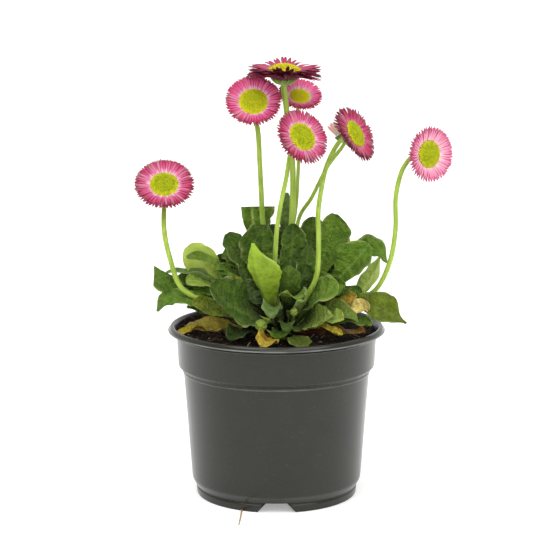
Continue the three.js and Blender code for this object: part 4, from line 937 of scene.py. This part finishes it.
def crumb_skins(growth, rng, n, grain):
    """Crumbs: balls of three rings of six points, each point pushed in or out, squashed, and strewn evenly."""
    r, a = 47.6 * np.sqrt(rng.uniform(0.03, 1, n)), rng.uniform(0, 2 * np.pi, n)
    x, y = r * np.cos(a), r * np.sin(a)
    spot = np.stack([x, y, peat_top(x, y, grain)], -1)
    size = 0.25 + 0.9 * rng.uniform(0, 1, n) ** 3
    lat = np.radians([-50, 0, 50])[:, None]
    lon = np.arange(6) * np.pi / 3
    bump = size[:, None, None] * rng.uniform(0.65, 1.2, (n, 3, 6))
    ball = np.stack([bump * np.cos(lat) * np.cos(lon), bump * np.cos(lat) * np.sin(lon),
                     bump * np.sin(lat) + 0 * lon], -1) * rng.uniform(0.6, 1.3, (n, 1, 1, 3))
    ends = np.stack([spot, spot], 1) + np.array([[0, 0, -0.8], [0, 0, 0.8]]) * size[:, None, None]
    growth.add(ball + spot[:, None, None], ends, upper=1.0, shade=rng.uniform(0, 1, (n, 1, 1)) ** 1.6)


def fibre_skins(growth, rng, n, grain):
    """Fibres: thin square tubes that turn evenly as they run over the peat, drawn to a point at both ends."""
    r, a = 44 * np.sqrt(rng.uniform(0.04, 1, n)), rng.uniform(0, 2 * np.pi, n)
    lie = rng.uniform(0, 2 * np.pi, n)
    s = np.linspace(-1, 1, 9)
    length = rng.uniform(1.5, 5, n)[:, None]
    turn = lie[:, None] + rng.uniform(-0.8, 0.8, n)[:, None] * s
    x = (r * np.cos(a))[:, None] + length * s * np.cos(turn)
    y = (r * np.sin(a))[:, None] + length * s * np.sin(turn)
    keep = np.minimum(1, 45.5 / np.hypot(x, y))
    x, y = x * keep, y * keep
    z = peat_top(x, y, grain) + 0.35 + 0.5 * rng.uniform(0, 1, (n, 1)) * s * s
    thin = (rng.uniform(0.07, 0.2, n)[:, None] * np.sqrt(1.05 - s * s))[..., None, None]
    across = np.stack([-np.sin(turn), np.cos(turn), 0 * turn], -1)[:, :, None]
    ring = turns(4)[:, None]
    rings = np.stack([x, y, z], -1)[:, :, None] + thin * (np.cos(ring) * across + np.sin(ring) * np.array([0, 0, 1.0]))
    growth.add(rings, upper=1.0, shade=rng.uniform(0.55, 1.0, (n, 1, 1)))


class DaisyPotSettings(bpy.types.PropertyGroup):
    rim_radius: FloatProperty(name="Rim radius", description="Outer radius of the pot's lip", default=0.0525,
                              unit="LENGTH", subtype="DISTANCE")
    height: FloatProperty(name="Height", description="Height of the pot", default=0.0833, unit="LENGTH",
                          subtype="DISTANCE")
    colour: FloatVectorProperty(name="Colour", description="Colour of the plastic", size=4, subtype="COLOR",
                                min=0, max=1, default=srgb(30, 31, 23))


class DaisyPeatSettings(bpy.types.PropertyGroup):
    grain: FloatProperty(name="Grain", description="How rough the peat's top is", default=0.001, unit="LENGTH",
                         subtype="DISTANCE")
    crumbs: IntProperty(name="Crumbs", description="Loose crumbs on the peat", default=1500, min=0)
    fibres: IntProperty(name="Fibres", description="Loose fibres on the peat", default=150, min=0)


class DaisyLeafSettings(bpy.types.PropertyGroup):
    thickness: FloatProperty(name="Thickness", description="Thickness of a blade", default=0.00045,
                             unit="LENGTH", subtype="DISTANCE")
    vein_depth: FloatProperty(name="Vein depth", description="How far the blade swells between its veins",
                              default=0.00022, unit="LENGTH", subtype="DISTANCE")
    tooth_depth: FloatProperty(name="Tooth depth", description="Depth of the scallops as a part of half the width",
                               default=0.095, min=0, max=0.4)


class DaisyBloomSettings(bpy.types.PropertyGroup):
    rays_per_head: IntProperty(name="Rays", description="Rays on each head", default=196, min=12)
    ray_width: FloatProperty(name="Ray width", description="Width of a ray near its tip", default=0.0012,
                             unit="LENGTH", subtype="DISTANCE")
    florets_per_head: IntProperty(name="Florets", description="Florets on each disc", default=260, min=12)
    hairs_per_stalk: IntProperty(name="Hairs", description="Hairs on each stalk", default=520, min=0)


class DaisyStageSettings(bpy.types.PropertyGroup):
    lens: FloatProperty(name="Lens", description="Focal length of the camera", default=134.99, min=10, unit="CAMERA")
    key_power: FloatProperty(name="Key light", description="Strength of the soft light", default=3.2, min=0)
    front: FloatProperty(name="Front", description="Brightness of the surround in front", default=0.42, min=0)
    back: FloatProperty(name="Back", description="Brightness of the surround behind", default=0.95, min=0)


class DAISY_OT_pot(bpy.types.Operator):
    """Pot: a profile with rounded corners carried round, its foot notched, its floor drilled"""
    bl_idname = "daisy.pot"
    bl_label = "Pot"

    def execute(self, context):
        told = context.scene.daisy_pot
        rim, top = told.rim_radius / MM, told.height / MM
        lip = top - 2.6
        profile = [(0, 4.8), (37.4, 4.8), (37.4, 0), (38.8, 0), (39.05, 0.3), (39.3, 3.3), (38.75, 3.8), (38.75, 4.4),
                   (39.5, 4.7), (39.6, 5.0), (40.95, 7.4), (41.25, 8.6), (45.15, 60.5), (45.6, 60.85), (45.65, 61.2),
                   (45.42, 61.55), (45.5, 62), (47, 63.4), (47.5, 63.8), (47.7, 64.4), (48.45, lip - 1.9),
                   (48.85, lip - 1.65), (48.85, lip - 1.35), (48.4, lip - 1.1), (48.4, lip - 0.3), (48.7, lip),
                   (rim - 0.6, lip), (rim - 0.05, lip + 0.1), (rim + 0.1, lip + 0.35), (rim, lip + 0.65),
                   (rim - 0.45, lip + 0.8), (rim - 0.55, lip + 1.3), (rim - 1.1, top - 0.35), (rim - 1.8, top),
                   (rim - 2.8, top - 0.25), (rim - 3.3, top - 1.0), (47.9, top - 3), (46.4, 65.3), (44.1, 63),
                   (39.8, 6), (0, 6)]
        profile = rounded(profile, 0.25)[1:-1]
        # Painted highlights on the collar's top and bottom beads, the lip's outer edge and the foot's chamfer: a point
        # of the profile, a reach and a strength each.
        highlight_ridges = ((45.65, 61.2, 0.35, 0.45), (rim, lip + 0.6, 0.35, 1.0), (48.85, lip - 1.3, 0.3, 0.5),
                   (40.95, 7.4, 0.4, 0.15))
        ridge_highlight = sum(np.exp(-((profile[:, 0] - r) ** 2 + (profile[:, 1] - z) ** 2) / reach**2) * most
                   for r, z, reach, most in highlight_ridges)
        notch, foot, narrow, wide, tall = np.radians([-90, 30, 150]), 39.4, 5.0, 9.25, 4.78
        corner = np.arcsin(np.array([narrow, wide]) / foot)
        extra = (notch[:, None, None] + corner[None, :, None] * np.array([-1, 1])).ravel()
        angles = np.unique(np.round(np.concatenate([turns(180), extra % (2 * np.pi)]), 5))
        rings = revolved(profile, angles)
        away = np.abs((angles[:, None] - notch + np.pi) % (2 * np.pi) - np.pi).min(axis=1)
        aside = foot * np.sin(np.minimum(away, 1.0))
        rings[..., 2] = np.maximum(rings[..., 2], np.clip((wide - aside) / (wide - narrow), 0, 1) * tall)
        growth = Growth()
        growth.add(rings[None], np.array([[[0, 0, 4.8], [0, 0, 6.0]]]), edge=ridge_highlight[:, None])
        piece = growth.piece("pot_shell", pot_plastic(tuple(told.colour)), "pot", ["pot"])
        drill = Growth()
        hole, out = 4, 27
        places = out * heading_vector(60 * np.arange(6) + 30, 0)
        drill.add(revolved([(hole, 3), (hole, 8)], turns(24))[None] + places[:, None, None])
        cutter = bpy.data.objects.new("drill", drill.mesh("drill"))
        context.scene.collection.objects.link(cutter)
        cut = piece.modifiers.new("drain", "BOOLEAN")
        cut.object, cut.operation, cut.solver = cutter, "DIFFERENCE", "EXACT"
        context.view_layer.update()
        made = bpy.data.meshes.new_from_object(piece.evaluated_get(context.evaluated_depsgraph_get()))
        piece.modifiers.clear()
        piece.data = made
        made.set_sharp_from_angle(angle=math.radians(38))
        bpy.data.objects.remove(cutter)
        return {"FINISHED"}


class DAISY_OT_peat(bpy.types.Operator):
    """Peat: a filled pot with a rough top, loose crumbs and fibres"""
    bl_idname = "daisy.peat"
    bl_label = "Peat"

    def execute(self, context):
        told = context.scene.daisy_peat
        grain = told.grain / MM
        wall = [(39.5, 6.3), (41.6, 34), (43.8, 63), (45.9, 65.5), (46.9, 77)]
        inward = PEAT_RADIUS * np.sqrt(np.linspace(1, 0.0004, 96))
        rings = revolved(wall + [(r, 0.0) for r in inward], turns(250))
        lid = rings[len(wall):]
        fade = (0.4 + 0.6 * smoothstep(PEAT_RADIUS - inward, 0, 1.5))[:, None]
        lid[..., 2] = peat_top(lid[..., 0], lid[..., 1], grain * fade)
        growth = Growth()
        growth.add(rings[None], np.array([[[0, 0, 6.3], [0, 0, SOIL_LEVEL]]]))
        rng = np.random.default_rng(SEEDS["peat"])
        crumb_skins(growth, rng, told.crumbs, grain)
        fibre_skins(growth, rng, told.fibres, grain)
        growth.piece("peat_surface", peat_crumb(), "peat", ["soil"])
        return {"FINISHED"}


class DAISY_OT_leaves(bpy.types.Operator):
    """Leaves: one fine skin for each leaf's node"""
    bl_idname = "daisy.leaves"
    bl_label = "Leaves"

    def execute(self, context):
        told = context.scene.daisy_leaf
        finishes = {tone: leaf_skin_material(tone) for tone in LEAF_TONES}
        for index, (name, numbers) in enumerate(LEAVES.items()):
            growth = Growth()
            leaf_skin(growth, numbers, SEEDS["leaf"] + index, told)
            for scrap in SCRAPS.get(name, []):
                leaf_skin(growth, scrap, SEEDS["scrap"] + index, told, 40, 15)
            tone = numbers["tone"]
            slot = "leaf" if tone == "leaf" else "leaf_" + tone
            growth.piece(f"leaf_{name}_skin", finishes[tone], slot, ["leaf_" + name])
        return {"FINISHED"}


class DAISY_OT_crown(bpy.types.Operator):
    """Crown: its knob, the low and inner leaves that grow from it, and two young buds"""
    bl_idname = "daisy.crown"
    bl_label = "Crown"

    def execute(self, context):
        growth = Growth()
        angles = turns(40)
        z = np.linspace(72, CROWN_TOP, 18)
        rings = revolved(np.stack([crown_radius(z), z], 1), angles)
        rings[..., :2] *= 1 + 0.06 * lumps(2.0 * np.arange(40), z[:, None], 3, 9)[..., None]
        growth.add(rings[None] + CROWN, along=0.1, upper=1.0, shade=0.4)
        for index, numbers in enumerate(CROWN_LEAVES + SMALL_LEAVES):
            leaf_skin(growth, numbers, SEEDS["crown"] + index, context.scene.daisy_leaf, 48, 21)
        up = np.linspace(-1, 1, 14)
        for wide, long, points in YOUNG_BUDS:
            path = smooth_path(points, 24)
            growth.add(tube_rings(path, 0.3 * wide, 10), along=0.15, upper=1.0)
            ball = revolved(np.stack([wide * np.sqrt(1.001 - up**2), long * up], 1), angles)
            ball[..., :2] *= 1 + 0.05 * np.cos(9 * angles)[:, None] * smoothstep(up, -1, 0.6)[:, None, None]
            # The young buds' balls are lightened: painted light.
            growth.add(turned(ball[None], unit(path[-1] - path[-2]), path[-1]), along=0.5, vein=0.2, tint=0.3)
        growth.piece("crown_growth", leaf_skin_material("leaf"), "crown", ["crown"])
        return {"FINISHED"}


class DAISY_OT_stalks(bpy.types.Operator):
    """Stalks: hairy ribbed stems with their cups of bracts"""
    bl_idname = "daisy.stalks"
    bl_label = "Stalks and cups"

    def execute(self, context):
        hairs = context.scene.daisy_bloom.hairs_per_stalk
        material = stalk_skin_material()
        for index, (name, told) in enumerate({**BLOOMS, "": BUD}.items()):
            growth = Growth()
            stalk_skin(growth, told, SEEDS["stalk"] + index, hairs)
            facing, head = seat(told)
            cup_skin(growth, told["disc"] * told["bowl"], told["stalk"], facing, head - told["drop"] * facing,
                     SEEDS["cup"] + index)
            name = f"bloom_{name}" if name else "bud"
            growth.piece(f"{name}_stem", material, "stalk", [f"{name}_stalk"])
        return {"FINISHED"}


class DAISY_OT_rays(bpy.types.Operator):
    """Rays: four layers of narrow rays on each head, and the bud's"""
    bl_idname = "daisy.rays"
    bl_label = "Rays"

    def execute(self, context):
        finishes = {tone: ray_skin_material(tone) for tone in RAY_TONES}
        for index, (name, told) in enumerate(BLOOMS.items()):
            growth = Growth()
            bloom_rays(growth, told, SEEDS["ray"] + 10 * index, context.scene.daisy_bloom)
            tone = told["tone"]
            slot = "rays_pink" if tone == "deep" else "rays_" + tone
            growth.piece(f"bloom_{name}_petals", finishes[tone], slot, [f"bloom_{name}_rays"])
        growth = Growth()
        bud_skins(growth)
        growth.piece("bud_petals", finishes[BUD["tone"]], "rays_pale", ["bud_rays"])
        return {"FINISHED"}


class DAISY_OT_discs(bpy.types.Operator):
    """Discs: a dome of florets on each head"""
    bl_idname = "daisy.discs"
    bl_label = "Discs"

    def execute(self, context):
        material = disc_skin_material()
        for index, (name, told) in enumerate(BLOOMS.items()):
            growth = Growth()
            floret_skins(growth, told, SEEDS["disc"] + index, context.scene.daisy_bloom.florets_per_head)
            growth.piece(f"bloom_{name}_florets", material, "disc", [f"bloom_{name}_disc"])
        return {"FINISHED"}


class DAISY_OT_root(bpy.types.Operator):
    """Root strand: a dry root that lies in front of the foot"""
    bl_idname = "daisy.root"
    bl_label = "Root strand"

    def execute(self, context):
        path = smooth_path(ROOT_STRAND, 60)
        s = np.linspace(0, 1, 60)
        path[:, 0] += 0.05 * np.sin(31 * s)
        path[:, 2] += 0.05 * np.sin(23 * s)
        growth = Growth()
        growth.add(tube_rings(path, 0.4 * (1 - 0.45 * s) * (1 + 0.1 * np.sin(47 * s)), 8))
        growth.piece("root_strand_fibre", root_skin_material(), "root_strand", ["root_strand"])
        return {"FINISHED"}


def surround(told):
    """A world that is white to the camera and lights the rest from behind and above more than from in front."""
    world = bpy.data.worlds.new("surround")
    world.use_nodes = True
    nodes, links = world.node_tree.nodes, world.node_tree.links
    part = nodes.new("ShaderNodeSeparateXYZ")
    links.new(nodes.new("ShaderNodeTexCoord").outputs["Generated"], part.inputs[0])
    grade = nodes.new("ShaderNodeMapRange")
    grade.interpolation_type = "SMOOTHSTEP"
    links.new(part.outputs["Y"], grade.inputs["Value"])
    for socket, value in (("From Min", -0.6), ("From Max", 0.7), ("To Min", told.front), ("To Max", told.back)):
        grade.inputs[socket].default_value = value
    seen = nodes.new("ShaderNodeMix")
    links.new(nodes.new("ShaderNodeLightPath").outputs["Is Camera Ray"], seen.inputs[0])
    links.new(grade.outputs["Result"], seen.inputs[2])
    seen.inputs[3].default_value = 1.05
    links.new(seen.outputs[0], nodes["Background"].inputs["Strength"])
    nodes["Background"].inputs["Color"].default_value = (1, 1, 1, 1)
    return world


class DAISY_OT_stage(bpy.types.Operator):
    """Stage: a pale floor, a soft light, a white surround and the camera"""
    bl_idname = "daisy.stage"
    bl_label = "Stage"

    def execute(self, context):
        told = context.scene.daisy_stage
        scene = context.scene
        floor = Growth()
        floor.add(revolved([(FLOOR_RADIUS, -2), (FLOOR_RADIUS, -0.05)], turns(96))[None])
        ground = bpy.data.objects.new("floor", floor.mesh("floor"))
        paper = Finish("white_floor", 0.9, Specular_IOR_Level=0.1, Emission_Color=(1, 1, 1, 1), Emission_Strength=0.32)
        white = paper.mix(paper.noise(3, 2), (0.86, 0.86, 0.86, 1), (0.9, 0.9, 0.9, 1))
        ground.data.materials.append(paper.finish(white))
        scene.collection.objects.link(ground)
        ground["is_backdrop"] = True
        scene.world = surround(told)
        for name, part, away in (("left_light", 0.42, (-0.42, -0.5, 1.15)), ("right_light", 0.32, (0.55, -0.6, 0.85)),
                                 ("front_light", 0.27, (0.05, -1.0, 0.4))):
            light = bpy.data.lights.new(name, "SUN")
            light.energy, light.angle = part * told.key_power, math.radians(40)
            lamp = bpy.data.objects.new(name, light)
            lamp.rotation_euler = Vector(away).to_track_quat("Z", "Y").to_euler()
            scene.collection.objects.link(lamp)
        camera = bpy.data.cameras.new("photo_view")
        camera.lens, camera.sensor_width, camera.sensor_fit = told.lens, 36, "HORIZONTAL"
        eye = bpy.data.objects.new("photo_view", camera)
        eye.location = (AXIS[0], AXIS[1] - CAMERA_AWAY, AXIS[2] + CAMERA_HEIGHT)
        eye.rotation_euler = (math.radians(90 - CAMERA_TILT), 0, 0)
        scene.collection.objects.link(eye)
        scene.camera = eye
        scene.view_settings.view_transform = "Standard"
        return {"FINISHED"}


OPERATORS = (DAISY_OT_pot, DAISY_OT_peat, DAISY_OT_crown, DAISY_OT_leaves, DAISY_OT_stalks, DAISY_OT_rays,
             DAISY_OT_discs, DAISY_OT_root, DAISY_OT_stage)
SETTINGS = {"daisy_pot": DaisyPotSettings, "daisy_peat": DaisyPeatSettings, "daisy_leaf": DaisyLeafSettings,
            "daisy_bloom": DaisyBloomSettings, "daisy_stage": DaisyStageSettings}


class DAISY_PT_panel(bpy.types.Panel):
    """Sizes and colours of the daisy, and its operators"""
    bl_idname = "DAISY_PT_panel"
    bl_label = "Potted English Daisy"
    bl_space_type = "VIEW_3D"
    bl_region_type = "UI"
    bl_category = "Daisy"

    def draw(self, context):
        for name, group in SETTINGS.items():
            box = self.layout.box()
            for prop in group.__annotations__:
                box.prop(getattr(context.scene, name), prop)
        for operator in OPERATORS:
            self.layout.operator(operator.bl_idname)


CLASSES = (*SETTINGS.values(), *OPERATORS, DAISY_PT_panel)


def register():
    for cls in CLASSES:
        bpy.utils.register_class(cls)
    for name, group in SETTINGS.items():
        setattr(bpy.types.Scene, name, PointerProperty(type=group))


def unregister():
    for name in SETTINGS:
        delattr(bpy.types.Scene, name)
    for cls in reversed(CLASSES):
        bpy.utils.unregister_class(cls)


def main():
    register()
    for operator in OPERATORS:
        group, name = operator.bl_idname.split(".")
        getattr(getattr(bpy.ops, group), name)()
    bounds = [list(corner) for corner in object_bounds()]


if __name__ == "__main__":
    main()
